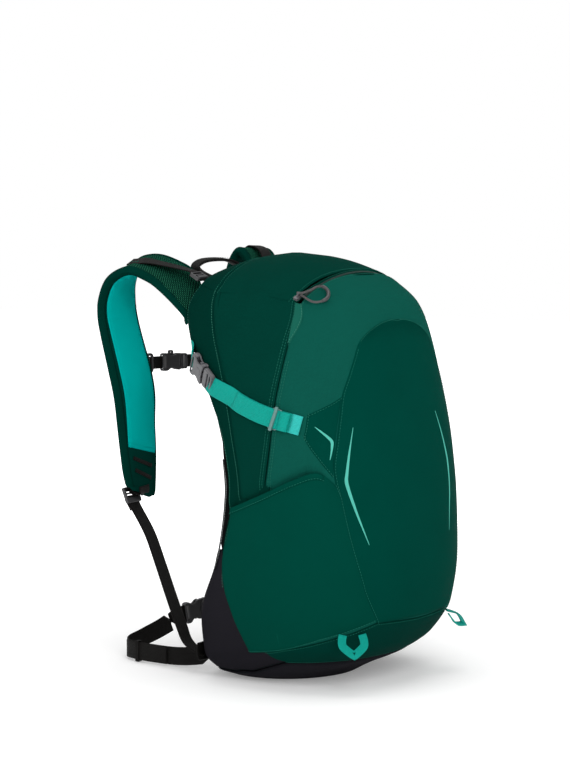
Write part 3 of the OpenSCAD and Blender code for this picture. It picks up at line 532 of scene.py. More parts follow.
def runs(P):
    """distance along columns and rows from the first edges"""
    u, v = np.zeros((2,) + P.shape[:2])
    u[:, 1:] = np.cumsum(np.linalg.norm(np.diff(P, axis=1), axis=-1), 1)
    v[1:] = np.cumsum(np.linalg.norm(np.diff(P, axis=0), axis=-1), 0)
    return u, v


def edge_distance(P, sew):
    """distance to the sewn edges: top (row 0), bottom, first column, last column"""
    u, v = runs(P)
    e = np.full(P.shape[:2], 1e3)
    for on, d in zip(sew, (v, v[-1:] - v, u, u[:, -1:] - u)):
        if on:
            e = np.minimum(e, d)
    return e


def rough_noise(P, scale, seed=0.0):
    flat = P.reshape(-1, 3) / scale + seed
    return A([noise.noise(Vector(p)) for p in flat]).reshape(P.shape[:-1])


def creases(P, folds):
    """adds (from, to, height, width) ridges, or grooves where the height is negative"""
    d = np.zeros(P.shape[:-1])
    for a, b, h, w in folds:
        a, b = A(a, float), A(b, float)
        ab = b - a
        t = np.clip(((P - a) @ ab) / (ab @ ab), 0, 1)
        far = np.linalg.norm(P - (a + t[..., None] * ab), axis=-1)
        d += h * np.exp(-(far / w) ** 2) * (1 - 0.55 * np.abs(2 * t - 1))
    return d
def sheet_faces(rows, cols, flipped):
    """quads of a grid, of the same grid again behind it, and of the rim between the two"""
    n = rows * cols
    f = []
    for a in (i * cols + j for i in range(rows - 1) for j in range(cols - 1)):
        b, c, d = a + 1, a + cols + 1, a + cols
        f.append((a, d, c, b) if flipped else (a, b, c, d))
        f.append((n + a, n + b, n + c, n + d) if flipped else (n + a, n + d, n + c, n + b))
    last = n - cols
    edges = [(j, j + 1) for j in range(cols - 1)] + [(last + j + 1, last + j) for j in range(cols - 1)]
    edges += [((i + 1) * cols, i * cols) for i in range(rows - 1)]
    edges += [((i + 1) * cols - 1, (i + 2) * cols - 1) for i in range(rows - 1)]
    f += [(a, b, n + b, n + a) if flipped else (b, a, n + a, n + b) for a, b in edges]
    return f


def slab(name, P, Q, out, mat, body, slot, nodes, u, v):
    """a closed sheet between two grids; out points away from Q at the first corner"""
    flipped = not np.cross(P[0, 1] - P[0, 0], P[1, 0] - P[0, 0]) @ out > 0
    uv = np.stack([u, v], -1).reshape(-1, 2)
    return add_mesh(name, np.vstack([P.reshape(-1, 3), Q.reshape(-1, 3)]), sheet_faces(*P.shape[:2], flipped), mat,
                    body, slot, np.vstack([uv, uv]), nodes=nodes)


def panel(name, q, mat, slot, nodes, deep=0.0, thick=1.0, sunk=False, sew=(1, 1, 1, 1), roll=1.5, wide=4.5,
          pucker=0.25, rumple=0.5, folds=(), extra=None, body="pack", rows=()):
    """a sewn panel of cloth: the grid q laid on the bag, rolled in at its seams, with rows of stitches"""
    P = skin(q, deep + (recess(skin(q)) if sunk else 0.0))
    N = normals(P)
    e = edge_distance(P, sew)
    u, v = runs(P)
    lift = -roll * (1 - ease(e / wide)) ** 1.5
    lift += pucker * np.exp(-e / 11) * rough_noise(P, *FINE) * ease(e / 2)
    lift += rumple * rough_noise(P, *BROAD) * ease(e / 18)
    lift += creases(P, folds) * ease(e / 4)
    if extra is not None:
        lift += extra(P, e)
    P = P + N * lift[..., None]
    o = slab(name, P, P - N * thick, N[0, 0], mat, body, slot, nodes, u, v)
    for edges, far, thread in rows:
        edge_rows(P, thread, far, edges.split())
    return o, P


def inset_line(P, edge, far):
    """points of the grid a distance in from one edge: top, bottom, first, last"""
    G = {"top": P.transpose(1, 0, 2), "bottom": P[::-1].transpose(1, 0, 2), "first": P, "last": P[:, ::-1]}[edge]
    return A([at_lengths([far], lengths(line), line)[0] for line in G])


def resample(path, step):
    s = lengths(path)
    return at_lengths(np.linspace(0, s[-1], max(2, int(round(s[-1] / step)) + 1)), s, path)


def smooth_path(path, step):
    return resample(spline(path, np.linspace(0, 1, 12 * len(path))), step)


def resample_like(path, values, p):
    """directions given at the points of a path, at the points p along it"""
    path, values = A(path, float), np.broadcast_to(A(values, float), A(path).shape)
    s = lengths(path)
    return unit(at_lengths(np.linspace(0, s[-1], len(p)), s, values))


STITCH = {}
STITCH_SHAPE = [(-0.5, 0, -0.7), (-0.3, 0.5, 0.1), (-0.3, -0.5, 0.1), (-0.25, 0, 0.9), (0.25, 0, 0.9),
                (0.3, 0.5, 0.1), (0.3, -0.5, 0.1), (0.5, 0, -0.7)]
STITCH_FACES = [(0, 1, 3), (0, 3, 2), (0, 2, 1), (7, 4, 5), (7, 6, 4), (7, 5, 6),
                (1, 5, 4, 3), (2, 3, 4, 6), (1, 2, 6, 5)]
STITCH_LONG, STITCH_WIDE, STITCH_LIFT = 2.1, 0.55, 0.22


def stitches(group, path, out, pitch=3.0):
    """collects thread stitches along a path; out gives the direction away from the cloth at each point"""
    p = resample(A(path, float), pitch)
    o = resample_like(path, out, p)
    t = unit(np.gradient(p, axis=0))
    b = unit(np.cross(t, o))
    verts, faces = STITCH.setdefault(group, ([], []))
    for k in range(len(p)):
        base = len(verts)
        for x, y, z in STITCH_SHAPE:
            verts.append(p[k] + t[k] * x * STITCH_LONG + b[k] * y * STITCH_WIDE
                         + o[k] * (z * STITCH_WIDE * 0.7 + STITCH_LIFT))
        faces.extend(tuple(base + i for i in f) for f in STITCH_FACES)


def edge_rows(q, thread, far, edges):
    """stitches along some edges of a grid, a distance in from each"""
    for e in edges:
        line = inset_line(q, e, far)
        stitches(thread, line, line - core(line))


def loft(n, k):
    """quads between n rings of k points"""
    return [(i + j, i + (j + 1) % k, i + k + (j + 1) % k, i + k + j)
            for i in range(0, (n - 1) * k, k) for j in range(k)]


def along_path(n, values):
    """one value or a few, spread evenly over n points"""
    return np.interp(np.linspace(0, 1, n), np.linspace(0, 1, np.size(values)), np.atleast_1d(values))


WEB_EDGE = [(-1, 0), (-0.97, -0.7), (-0.9, -1), (-0.45, -0.92), (0, -0.9), (0.45, -0.92), (0.9, -1), (0.97, -0.7)]
WEB_SECTION = WEB_EDGE + [(-a, -b) for a, b in WEB_EDGE]


def ribbon(name, path, across, width, thick, mat, body, slot, nodes=(), step=2.5, smooth_first=True):
    """flat webbing along a path, with softly rounded edges; across gives the direction of its width"""
    raw = A(path, float)
    p = smooth_path(raw, step) if smooth_first else raw
    n, k = len(p), len(WEB_SECTION)
    w = A(across, float)
    w = resample_like(raw, w if w.ndim == 2 else np.tile(w, (len(raw), 1)), p)
    t = unit(np.gradient(p, axis=0))
    w = unit(w - t * (w * t).sum(1, keepdims=True))
    h = np.cross(t, w)
    width = along_path(n, width) / 2
    s = lengths(p)
    verts = [p[i] + w[i] * a * width[i] + h[i] * b * thick / 2 for i in range(n) for a, b in WEB_SECTION]
    uv = [(s[i], a * width[i]) for i in range(n) for a, b in WEB_SECTION]
    faces = [f[::-1] for f in loft(n, k)] + [tuple(range(k)), tuple(range(n * k - 1, (n - 1) * k - 1, -1))]
    return add_mesh(name, verts, faces, mat, body, slot, uv, nodes=nodes)


def webbing(name, path, across, width, thick, body, nodes=(), step=2.5, smooth_first=True, kind="black"):
    return ribbon(name, path, across, width, thick, kind + "_web", body, kind + "_webbing", nodes, step, smooth_first)


def tube(name, path, radius, mat, body, slot, nodes=(), sides=10, step=1.5, smooth_first=True):
    p = smooth_path(A(path, float), step) if smooth_first else A(path, float)
    n = len(p)
    t = unit(np.gradient(p, axis=0))
    u = np.cross(t[0], [0, 0, 1.0] if abs(t[0][2]) < 0.9 else [1.0, 0, 0])
    r, s = along_path(n, radius), lengths(p)
    verts, uv = [], []
    for i in range(n):
        u = unit(u - t[i] * (u @ t[i]))
        v = np.cross(t[i], u)
        for a in (2 * math.pi * j / sides for j in range(sides)):
            verts.append(p[i] + r[i] * (u * math.cos(a) + v * math.sin(a)))
            uv.append((s[i], r[i] * a))
    faces = loft(n, sides) + [tuple(range(sides))[::-1], tuple(range((n - 1) * sides, n * sides))]
    return add_mesh(name, verts, faces, mat, body, slot, uv, nodes=nodes), p


def frame_at(at, along, facing):
    """a place whose X runs along and whose Z is the nearest to facing"""
    d, f = unit(along), A(facing, float)
    f = unit(f - d * (f @ d))
    m = Matrix(A([d, np.cross(f, d), f]).T.tolist()).to_4x4()
    m.translation = Vector(A(at, float) * MM)
    return m


def shifted(fr, x):
    return fr @ Matrix.Translation((x * MM, 0, 0))


def rounded(x0, y0, x1, y1, r):
    """outline of a rounded rectangle"""
    turns = np.radians(np.linspace(0, 90, 6))
    return [(cx + r * math.cos(a + q), cy + r * math.sin(a + q))
            for cx, cy, q in ((x1 - r, y1 - r, 0), (x0 + r, y1 - r, math.pi / 2), (x0 + r, y0 + r, math.pi),
                              (x1 - r, y0 + r, math.pi * 1.5)) for a in turns]


def plate(outlines, low, high, bevel):
    """mesh of a flat moulding with holes, between two heights"""
    cu = bpy.data.curves.new("tmp", "CURVE")
    cu.dimensions = "2D"
    cu.fill_mode = "BOTH"
    cu.extrude = ((high - low) / 2 - bevel) * MM
    cu.bevel_depth = bevel * MM
    cu.bevel_resolution = 2
    cu.offset = -bevel * MM
    for pts in outlines:
        sp = cu.splines.new("POLY")
        sp.points.add(len(pts) - 1)
        for q, (x, y) in zip(sp.points, pts):
            q.co = (x * MM, y * MM, 0, 1)
        sp.use_cyclic_u = True
    o = bpy.data.objects.new("tmp", cu)
    bpy.context.collection.objects.link(o)
    bpy.context.view_layer.update()
    me = bpy.data.meshes.new_from_object(o.evaluated_get(bpy.context.evaluated_depsgraph_get()))
    bpy.data.objects.remove(o)
    bpy.data.curves.remove(cu)
    me.transform(Matrix.Translation((0, 0, (low + high) / 2 * MM)))
    return me
SHARP = math.radians(38)  # edges of a moulding that turn by more stay sharp


def joined(name, parts, place, mat, body, slot, nodes=()):
    """one moulding of plates: (outlines, low, high, bevel) and, for a turned one, its matrix"""
    verts, faces = [], []
    for outlines, low, high, bevel, *turn in parts:
        me = plate(outlines, low, high, bevel)
        full = place @ turn[0] if turn else place
        base = len(verts)
        verts.extend(tuple(full @ v.co) for v in me.vertices)
        faces.extend(tuple(base + i for i in f.vertices) for f in me.polygons)
        bpy.data.meshes.remove(me)
    o = add_mesh(name, A(verts) / MM, faces, mat, body, slot, nodes=nodes)
    o.data.set_sharp_from_angle(angle=SHARP)


def moulded(name, parts, place, body, nodes=(), kind="black"):
    joined(name, parts, place, kind + "_plastic", body, kind + "_buckle", nodes)


# ---- panels
camera()
HANDS = (("left", lambda q: A(q, float)), ("right", flip))
SIGN = {"left": A([1.0, 1, 1]), "right": A([-1.0, 1, 1])}
ACROSS = np.linspace(-1, 1, 13)
SEAMS = "top bottom"


def two(make):
    """a left piece and its mirror image on the right"""
    for hand, side in HANDS:
        make(side, hand)


def sided(side, folds):
    return [(side(a), side(b), high, wide) for a, b, high, wide in folds]


def capped(rails, tops):
    """seams with one more point before their first"""
    return [np.vstack([[top], r]) for top, r in zip(tops, rails)]


def back_angles(k, z):
    return 90 - (90 - look(BACK_ANGLE, z)) * k


def foot_height(k):
    return look(FOOT, 138 * np.abs(np.sin(np.radians(90 * k))))


def back_grid(rows, cols):
    k = np.linspace(-1, 1, cols + 1)[None, :]
    z = lerp(foot_height(k) + 0.5, look(BACK_TOP, np.abs(k)), np.linspace(0, 1, rows + 1)[:, None])
    return rim(back_angles(k, z), z)


def back_pads(P, e):
    """two padded columns either side of an air channel, with cross channels"""
    x, z = np.abs(P[..., 0]), P[..., 2]
    column = np.exp(-((x - 62) / 40) ** 4)
    middle = -3.2 * np.exp(-(x / 11) ** 2)
    cross = sum(-2.2 * np.exp(-((z - c - 0.12 * x) / 4.0) ** 2) for c in (150, 225, 300, 368))
    return (2.4 * column + middle * ease((z - 70) / 30) + cross * column) * ease(e / 16) - 1.2


back, _ = panel("back_pad", back_grid(96, 90), "back_mesh", "back_mesh", ["back_panel"], thick=6.5, roll=3.2, wide=9,
                rumple=0.3, extra=back_pads, rows=[("first last bottom", 4.5, "dark_thread")])

YOKE_TOP = both([[-96, 97, 409], [-84, 96, 420], [-60, 97, 433], [-30, 98, 441], [0, 98, 443]])
yoke_z = look(BACK_TOP, np.abs(ACROSS)) + 1.3
panel("yoke_cloth", rails_grid([YOKE_TOP, rim(back_angles(ACROSS, yoke_z), yoke_z)], 26, 96, (0.01, 1, 0.004, 0.996)),
      "trim", "trim_fabric", ["yoke_panel"], thick=1.8, sew=(1, 1, 0, 0), rows=[(SEAMS, 3.0, "thread")])


def rear_band(side, hand):
    rails = capped((REAR_SEAM, BACK_EDGE), ([-90, 97, 415], [-73, 147, 419]))
    folds = sided(side, (([-128, 60, 325], [-134, 50, 285], 1.1, 7), ([-137, 45, 235], [-140, 38, 200], -1.0, 8),
                         ([-110, 118, 372], [-118, 92, 340], 0.8, 8)))
    panel("rear_band_cloth_" + hand, side(rails_grid(rails, 26, 130, (0, 0.965, 0.03, 0.9))), "trim", "trim_fabric",
          ["rear_band_" + hand], DEEP - 1.2, 1.8, True, sew=(1, 1, 0, 1), roll=1.2, folds=folds,
          rows=[(SEAMS, 2.6, "bright_thread")])


def side_cloth(side, hand):
    rails = capped((RIDGE, REAR_SEAM), ([-90, -8, 404.5], [-90, 97, 415]))
    folds = sided(side, (([-131, 40, 318], [-131, 5, 330], 1.4, 10), ([-134, 35, 290], [-136, 0, 262], 1.2, 9),
                         ([-125, 60, 355], [-118, 20, 372], 1.0, 9), ([-138, 20, 240], [-139, 10, 205], -1.3, 9),
                         ([-112, 80, 388], [-108, 40, 398], 0.8, 8)))
    panel("side_cloth_" + hand, side(rails_grid(rails, 44, 130, (0, 1, 0.03, 0.98))), "side", "pack_fabric",
          ["side_panel_" + hand], DEEP - 1.2, 1.8, True, sew=(1, 1, 0, 1), roll=1.0, rumple=0.7, folds=folds,
          extra=lambda p, e: 0.6 * np.sin(p[..., 1] / 17 + p[..., 2] / 23) * ease(e / 20),
          rows=[("top", 2.4, "thread"), ("top", 5.2, "thread")])


two(rear_band)
two(side_cloth)

arc = np.arange(-38, 38.1, 1.0)
top_rails = [zip_at(arc, np.full(arc.shape, 6.5)), spline(YOKE_TOP, np.linspace(0, 1, len(arc)))]
panel("top_cloth", rails_grid(top_rails, 50, 90), "side", "pack_fabric", ["top_panel"], DEEP - 1.32, 1.8,
      sew=(0, 1, 0, 0), roll=1.2, rumple=0.6, rows=[(SEAMS, 2.2, "thread")])


def front_grid(rows, cols, low_add, top):
    s = lerp(0.004, 0.996, np.linspace(0, 1, cols + 1))
    guess = look(RIDGE_ANGLE, front_seam(lerp(-170, -10, s)))
    low = front_seam(lerp(guess, -180 - guess, s)) + low_add
    z = lerp(low[None, :], top, np.linspace(0, 1, rows + 1)[:, None])
    a = look(RIDGE_ANGLE, z)
    return rim(lerp(a, -180 - a, s[None, :]), z)


FRONT_ROWS, FRONT_COLS = 110, 120
front_folds = [([x, y, z], [x2, y2, z2], high, 8) for x, y, z, x2, y2, z2, high in (
    (-110, -50, 330, -104, -58, 312, 0.9), (110, -50, 330, 104, -58, 312, 0.9),
    (-122, -40, 250, -118, -52, 225, -0.8), (122, -40, 250, 118, -52, 225, -0.8))]
front_folds += [([-70, -45, 392], [-55, -58, 375], 0.8, 9), ([40, -50, 400], [60, -52, 380], 0.7, 9)]
low_part = front_grid(FRONT_ROWS, FRONT_COLS, 0.6, FOLD)
flap_top = both([[-114, -13, 360], [-110, -15, 368], [-103.5, -15.5, 381], [-95.5, -14, 395.5]]
                + [zip_at(v, -2.8) for v in (-32.0, -25.0, -17.0, -8.0, 0.0)])
high_part = lerp(low_part[-1][None], spline(flap_top, np.linspace(0, 1, FRONT_COLS + 1))[None],
                 np.linspace(0, 1, 61)[1:, None, None])
o, P = panel("front_cloth", np.concatenate([low_part, high_part]), "pack", "pack_fabric",
             ["front_panel", "front_flap"], DEEP - 1.5, 1.5, True, roll=1.0, rumple=0.6, folds=front_folds,
             sew=(0, 0, 1, 1), body=None)
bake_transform(o)
for far in (2.4, 5.0):
    edge_rows(P[:105], "thread", far, ("first", "last"))
edge_rows(P[118:], "flap_thread", 1.8, ("bottom",))
for place, seam in (("front", RIDGE), ("back", REAR_SEAM)):
    for hand, m in SIGN.items():
        run = skin(spline(seam, np.linspace(0.01, 0.97, 90)), 3.4) * m
        ribbon("seam_tape_%s_%s" % (place, hand), run, np.cross(np.gradient(run, axis=0), run - core(run)), 12, 0.8,
               "trim", "pack", "trim_fabric")

SHIELD_EDGE = [[73, 62], [95, 76], [115, 85], [157, 96], [200, 103], [232, 106], [261, 101], [286, 95],
               [308, 89], [323, 82], [345, 71], [358, 64], [365, 57], [372, 45], [378, 28], [381, 10]]
z = np.concatenate([np.linspace(73, 355, 100), 381 - 26 * np.linspace(1, 0, 34)[1:] ** 1.7])[:, None]
x = np.linspace(-1, 1, 81)[None, :]
x = x * look(spline(SHIELD_EDGE, np.linspace(0, 1, 120)), z)
o, P = panel("shield_cloth", front_at(x, z), "shield", "pack_fabric", ["shield", "shield_top"], -0.95, 1.3, roll=0.8,
             wide=2.6, pucker=0.12, rumple=0.35, body=None)
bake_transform(o)
edge_rows(P[:99], "thread", 2.2, ("first", "last"))
edge_rows(P[104:], "flap_thread", 2.0, ("first", "last", "bottom"))


def wing(side, hand):
    rails = [[[-118, -41, 288], [-109, -51, 294], [-99, -59, 300], [-90, -64, 306]],
             [[-120, -41, 277], [-115, -50, 272], [-109, -58, 266], [-101.7, -65, 261]],
             [[-122, -40, 265], [-119, -47, 253], [-114, -57, 239], [-107, -66, 225]]]
    panel("wing_cloth_" + hand, side(rails_grid(rails, 40, 30, (0, 1, 0, 0.99))), "shield", "trim_fabric",
          ["wing_" + hand], -0.55, roll=0.6, wide=3, pucker=0.15, rumple=0.3,
          rows=[("top bottom first", 1.8, "thread")])


two(wing)
# the side pocket, from its mouth down, each line from the front to the back
POCKET = [
    [[-107, -66, 219], [-116, -54, 230], [-130, -31, 222], [-138, -3, 208], [-140, 22, 197], [-138.5, 44, 188]],
    [[-104, -71, 200], [-117, -56, 194], [-131, -31, 187], [-139, -2, 178], [-140, 24, 170], [-138, 49, 163]],
    [[-97, -78, 157], [-114, -61, 153], [-131, -32, 148], [-139, -3, 143], [-141, 28, 138], [-138, 57, 134]],
    [[-86, -84, 115], [-108, -64, 112], [-127, -36, 109], [-137, -4, 106], [-139, 28, 104], [-138, 54, 102]],
    [[-76.5, -86, 93], [-100, -66, 87], [-120, -38, 82], [-133, -8, 78], [-136, 22, 76], [-134, 45, 75]],
    [[-64, -87, 74.5], [-84, -73, 66.5], [-105, -46, 55.5], [-117, -12, 43], [-119.5, 16, 38.5], [-119, 34, 36.5]]]
def forward(rail, reach):
    """the rail with its first point moved on past its end"""
    r = A(rail, float)
    r[0] += reach * unit(r[0] - r[1])
    return r


def pocket(side, hand):
    q = side(rails_grid([forward(r, 6.0) for r in POCKET], 86, 86, (0, 0.997, 0, 0.97)))
    folds = sided(side, (([-139, 10, 190], [-139, 0, 130], 0.9, 12), ([-128, -34, 190], [-133, -20, 120], 0.8, 12),
                         ([-138, 40, 150], [-133, 35, 90], -0.9, 10), ([-112, -62, 150], [-118, -45, 95], 0.7, 12)))
    _, P = panel("pocket_cloth_" + hand, q, "pocket", "pack_fabric", ["side_pocket_" + hand], -0.5, roll=1.0, wide=4,
                 sew=(0, 1, 1, 1), rumple=0.6, folds=folds)
    # the folded hem, behind the part of the mouth that the seam covers
    behind = slice(int(0.17 * P.shape[1]), None)
    hem = inset_line(P, "top", 0.2)[behind]
    out = unit(hem - core(hem))
    low, high = inset_line(P, "top", 7.0)[behind] + out * 0.2, hem + out * 0.75
    prof = [(0, 0, 0), (0.12, 0.35, 1), (0.55, 0.4, 5), (0.9, 0.3, 8), (1, -0.4, 9), (1, -1.6, 10), (0.5, -1.4, 14)]
    verts, uvs = [], []
    for share, lift, v in prof:
        line = lerp(low, high, share) + out * lift
        verts.extend(line)
        uvs.extend((a, v) for a in lengths(line))
    m, n = len(prof), len(hem)
    faces = []
    for a, b in ((i * n + j, (i + 1) % m * n + j) for i in range(m) for j in range(n - 1)):
        faces.append((a, a + 1, b + 1, b) if hand == "left" else (a, b, b + 1, a + 1))
    faces.append(tuple(i * n for i in range(m)))
    faces.append(tuple(i * n + n - 1 for i in range(m))[::-1])
    add_mesh("pocket_hem_" + hand, verts, faces, "pocket", "pack", "pack_fabric", uvs)
    stitches("thread", low + out * 0.5 + (high - low) * 0.2, out)
    edge_rows(P, "thread", 2.2, ("bottom", "first"))


two(pocket)

t = np.linspace(0, 1, 21)[:, None]
a = lerp(lerp(-154, -169, t), lerp(-26, -11, t), np.linspace(0, 1, 161)[None, :])
panel("front_base_cloth", rim(a, lerp(base_top(a) + 0.3, front_seam(a) - 0.3, t)), "lower", "trim_fabric",
      ["front_base_panel"], 0.0, 1.8, roll=1.0, rumple=0.4, rows=[(SEAMS, 2.0, "thread")])


def base():
    """the sole: rings from the seam down and in, and the same a little further in"""
    n = 180
    ang = np.linspace(-180, 180, n, endpoint=False)
    steps = A([1.0, 0.985, 0.93, 0.8, 0.62, 0.45, 0.28, 0.15, 0.06, 0.0])
    ring = A([rim(ang, share * base_top(ang)) for share in steps])
    out = unit(ring - core(ring))
    sink = A([1.5, 0.5] + [0] * 8)[:, None]
    wave = 0.6 * rough_noise(ring, 34.0, 4.0) * ease(steps[:, None] * 4) * ease((1 - steps[:, None]) * 8)
    ring = ring + out * (wave - sink)[..., None]
    ring[..., 2] = np.maximum(ring[..., 2], 0.0)
    ring[-1, :, 2] = 0
    mid, thick = A([0, 60, 0]), 2.6
    inner = mid + (ring[:8] - mid) * [0.975, 0.975, 1]
    inner[..., 2] = np.maximum(inner[..., 2], thick)
    loops = list(ring) + list(inner[::-1])
    verts = np.concatenate(loops + [mid[None], (mid + [0, 0, thick])[None]])
    m, last = len(loops), len(ring) - 1
    faces = []
    for i in (i for i in range(m) if i != last):
        a, b = i * n, (i + 1) % m * n
        faces += [(a + j, b + j, b + (j + 1) % n, a + (j + 1) % n) for j in range(n)]
    for j in range(n):
        faces.append((last * n + j, m * n, last * n + (j + 1) % n))
        faces.append(((last + 1) * n + j, (last + 1) * n + (j + 1) % n, m * n + 1))
    uv = [(math.radians(v) * 95, i * 6.0) for i in range(m) for v in ang] + [(0, 0), (0, 0)]
    add_mesh("base_cloth", verts, faces, "base", "pack", "base_fabric", uv, nodes=["base_panel"])
    stitches("dark_thread", ring[2], ring[2] - core(ring[2]), pitch=4)


base()
share = np.linspace(0, 1, 161)[None, :]
k = 2 * share - 1
t = np.linspace(0, 1, 41)[:, None]
top = foot_height(k) - 0.3 - 1.5 * np.abs(k) ** 3
high = 90 - (90 - 0.9 * np.abs(k) ** 8 - look(BACK_ANGLE, top)) * k
low = lerp(209, -29, share)
rise = look([[0, 0], [0.06, 0.03], [0.12, 0.1], [0.2, 0.38], [0.38, 0.6], [0.67, 0.76], [1, 1]], t)
q = rim(lerp(low, high, lerp(1 - (1 - t) ** 3, rise, np.abs(k) ** 6)), lerp(base_top(low) + 0.6, top, t))
panel("lower_back_cloth", q, "base", "base_fabric", ["lower_back_panel"], 0.9, 1.6, roll=1.0, rumple=0.45, pucker=0.3,
      rows=[("bottom top", 2.6, "dark_thread")])


# ---- flap, zip, garages
def tape(name, half_arc, near, far, body, node):
    a = np.linspace(-half_arc, half_arc, 150)
    out = zip_out(a)
    P = A([zip_at(a, np.full(a.shape, s)) + out * r
           for s, r in zip(np.linspace(near, far, 5), (0.3, 0.45, 0.4, 0.2, -0.3))])
    slab(name, P, P - out[None] * 1.1, out[0], "trim", body, "trim_fabric", [node], *runs(P))
    stitches("thread" if body == "pack" else "flap_thread", P[3], out)


tape("zip_tape_back", 37, 0.2, 6.5, "pack", "zip_tape_body")
tape("zip_tape_front", 33, -0.2, -6.5, "flap", "zip_tape_flap")


def along_zip(v):
    return np.cross(zip_out(v), ZIP_AXIS)


def coil(name, body, near, far, half_arc):
    """the folded-over teeth beside the zip line"""
    deep = far - near
    tooth = ((-0.45, 0, 0.4), (0.45, 0, 0.4), (0.45, 1, 0.4), (-0.45, 1, 0.4),
             (-0.25, 0.15, 0.95), (0.25, 0.15, 0.95), (0.25, 0.85, 0.95), (-0.25, 0.85, 0.95))
    quads = [(0, 1, 5, 4), (1, 2, 6, 5), (2, 3, 7, 6), (3, 0, 4, 7), (4, 5, 6, 7), (3, 2, 1, 0)]
    verts, faces = [], []
    for v in np.arange(-half_arc, half_arc, 0.55):
        faces += [tuple(len(verts) + i for i in (g if deep > 0 else g[::-1])) for g in quads]
        verts += [zip_at(v, near) + along_zip(v) * x + ZIP_AXIS * y * deep + zip_out(v) * h for x, y, h in tooth]
    add_mesh(name, verts, faces, "coil", body, "trim_fabric", smooth=False)


coil("zip_coil_back", "pack", 0.12, 1.5, 36)
coil("zip_coil_front", "flap", -0.12, -1.5, 32.5)


def garage(side, hand):
    rails = [[[-95.5, -8.5, 400], [-101, -11.5, 388.5], [-107, -12.5, 377], [-113.3, -13, 361]],
             [[-93.5, -16, 398], [-98.2, -20.5, 387], [-104, -20.5, 376], [-113.0, -14.5, 360]]]
    panel("garage_cloth_" + hand, side(rails_grid(rails, 14, 40)), "light", "pack_fabric", ["zip_garage_" + hand],
          -1.3, roll=0.7, wide=2.5, pucker=0.05, rumple=0.1, rows=[("bottom", 1.3, "bright_thread")])


two(garage)

SLIDER_AT = -35.0  # degrees along the zip's arc
out, along = zip_out(SLIDER_AT), along_zip(SLIDER_AT)
slider_mid = zip_at(SLIDER_AT, 3.2) + out * 0.7
wings = [(-5.5, -1.6), (-4.2, -2.8), (0, -2.2), (2.5, -2.8), (5.5, -2.4)]
wings += [(x, -y) for x, y in wings[::-1]]
bridge = [(-4.2, 0), (-3.6, 3.0), (-1.8, 4.9), (0.4, 4.6), (1.8, 3.4), (2.6, 1.6), (2.8, 0), (1.6, 0), (1.0, 2.0),
          (-0.4, 3.3), (-1.9, 3.3), (-2.6, 2.0), (-2.8, 0)]
upright = Matrix.Translation((0, 0, 1.6 * MM)) @ Matrix.Rotation(math.radians(90), 4, "X")
joined("slider_metal", [([wings], 0.1, 1.2, 0.35), ([wings], 1.9, 3.0, 0.35),
                        ([rounded(-2, -1, 1.5, 1, 0.4)], 0.8, 2.3, 0.2), ([bridge], -0.8, 0.8, 0.25, upright)],
       frame_at(slider_mid, along, out), "grey_plastic", "slider", "zip_metal", ["zip_slider"])
eye = slider_mid - along * 1.5 + out * 4.4
eye_side = ZIP_AXIS * (1 + 1.2 + 0.3)  # bridge half width, cord radius and clearance
PULLER = A([eye + eye_side, [-91.5, -15.0, 410.3], [-85.4, -20.5, 413.2], [-79, -23.6, 416.4], [-74.1, -28.2, 416.2],
            [-73.6, -33.8, 411.6], [-78.5, -37.0, 405.8], [-85, -34.8, 402.2], [-91.2, -27, 401.6], eye - eye_side])
pull, line = tube("puller_cord", PULLER, 1.2, "cord", "slider", "puller_cord", nodes=["zip_puller"], sides=12, step=1.2)
sleeve, _ = tube("puller_sleeve", line[int(len(line) * 0.36):int(len(line) * 0.68)], [1.7] + [1.95] * 5 + [1.7],
                 "black_plastic", "slider", "puller_cord", smooth_first=False, sides=14)

# ---- loops
haul = both([skin([-37, 152, 422], -2.4), [-38.5, 169, 427], [-36, 177, 434], [-22, 179, 439.5], [0, 179, 441]])
webbing("haul_web", haul, [0, 1, 0.1], [5, 9, 11.5, 12, 12, 12, 11.5, 9, 5], 3.3, "haul_loop", ["haul_loop"], 1.5)
for u in (-3.8, 3.8):
    stitches("haul_thread", smooth_path(haul, 2)[20:-20] + A([0, u, 1.7]), A([0, 0, 1.0]))
LOOP = A([[-10, 0.5], [-11.3, 6], [-11.2, 12], [-8, 16.2], [-0.6, 22.4]])
LOOP = np.vstack([LOOP, LOOP[::-1] * [-1, 1]])


def tool_loop(hand, tilt, twist):
    """a flat loop that leaves the bag at tilt degrees below level, and turns by twist degrees to its tip"""
    root = skin([-84, -73, 64], -2.0)
    side_d, out_d = A([0.74, -0.67, 0]), A([-0.67, -0.74, 0])
    away = out_d * math.cos(math.radians(tilt)) - A([0, 0, math.sin(math.radians(tilt))])
    face = np.cross(side_d, away)
    x, y = LOOP[:, :1], LOOP[:, 1:]
    turn = np.radians(twist * y / 22)
    across = np.cross(np.gradient(root + x * side_d + y * away, axis=0), face)
    across = across * np.cos(turn * 0.6) + face * np.sin(turn * 0.6)
    path = root + side_d * (x * np.cos(turn)) + face * (x * np.sin(turn)) + away * y
    webbing("tool_web_" + hand, path * SIGN[hand], across * SIGN[hand], 8.6, 1.5, "tool_loop_" + hand,
            ["tool_loop_" + hand], 1.2, kind="bright")


tool_loop("left", 62, 0)
tool_loop("right", 36, 38)

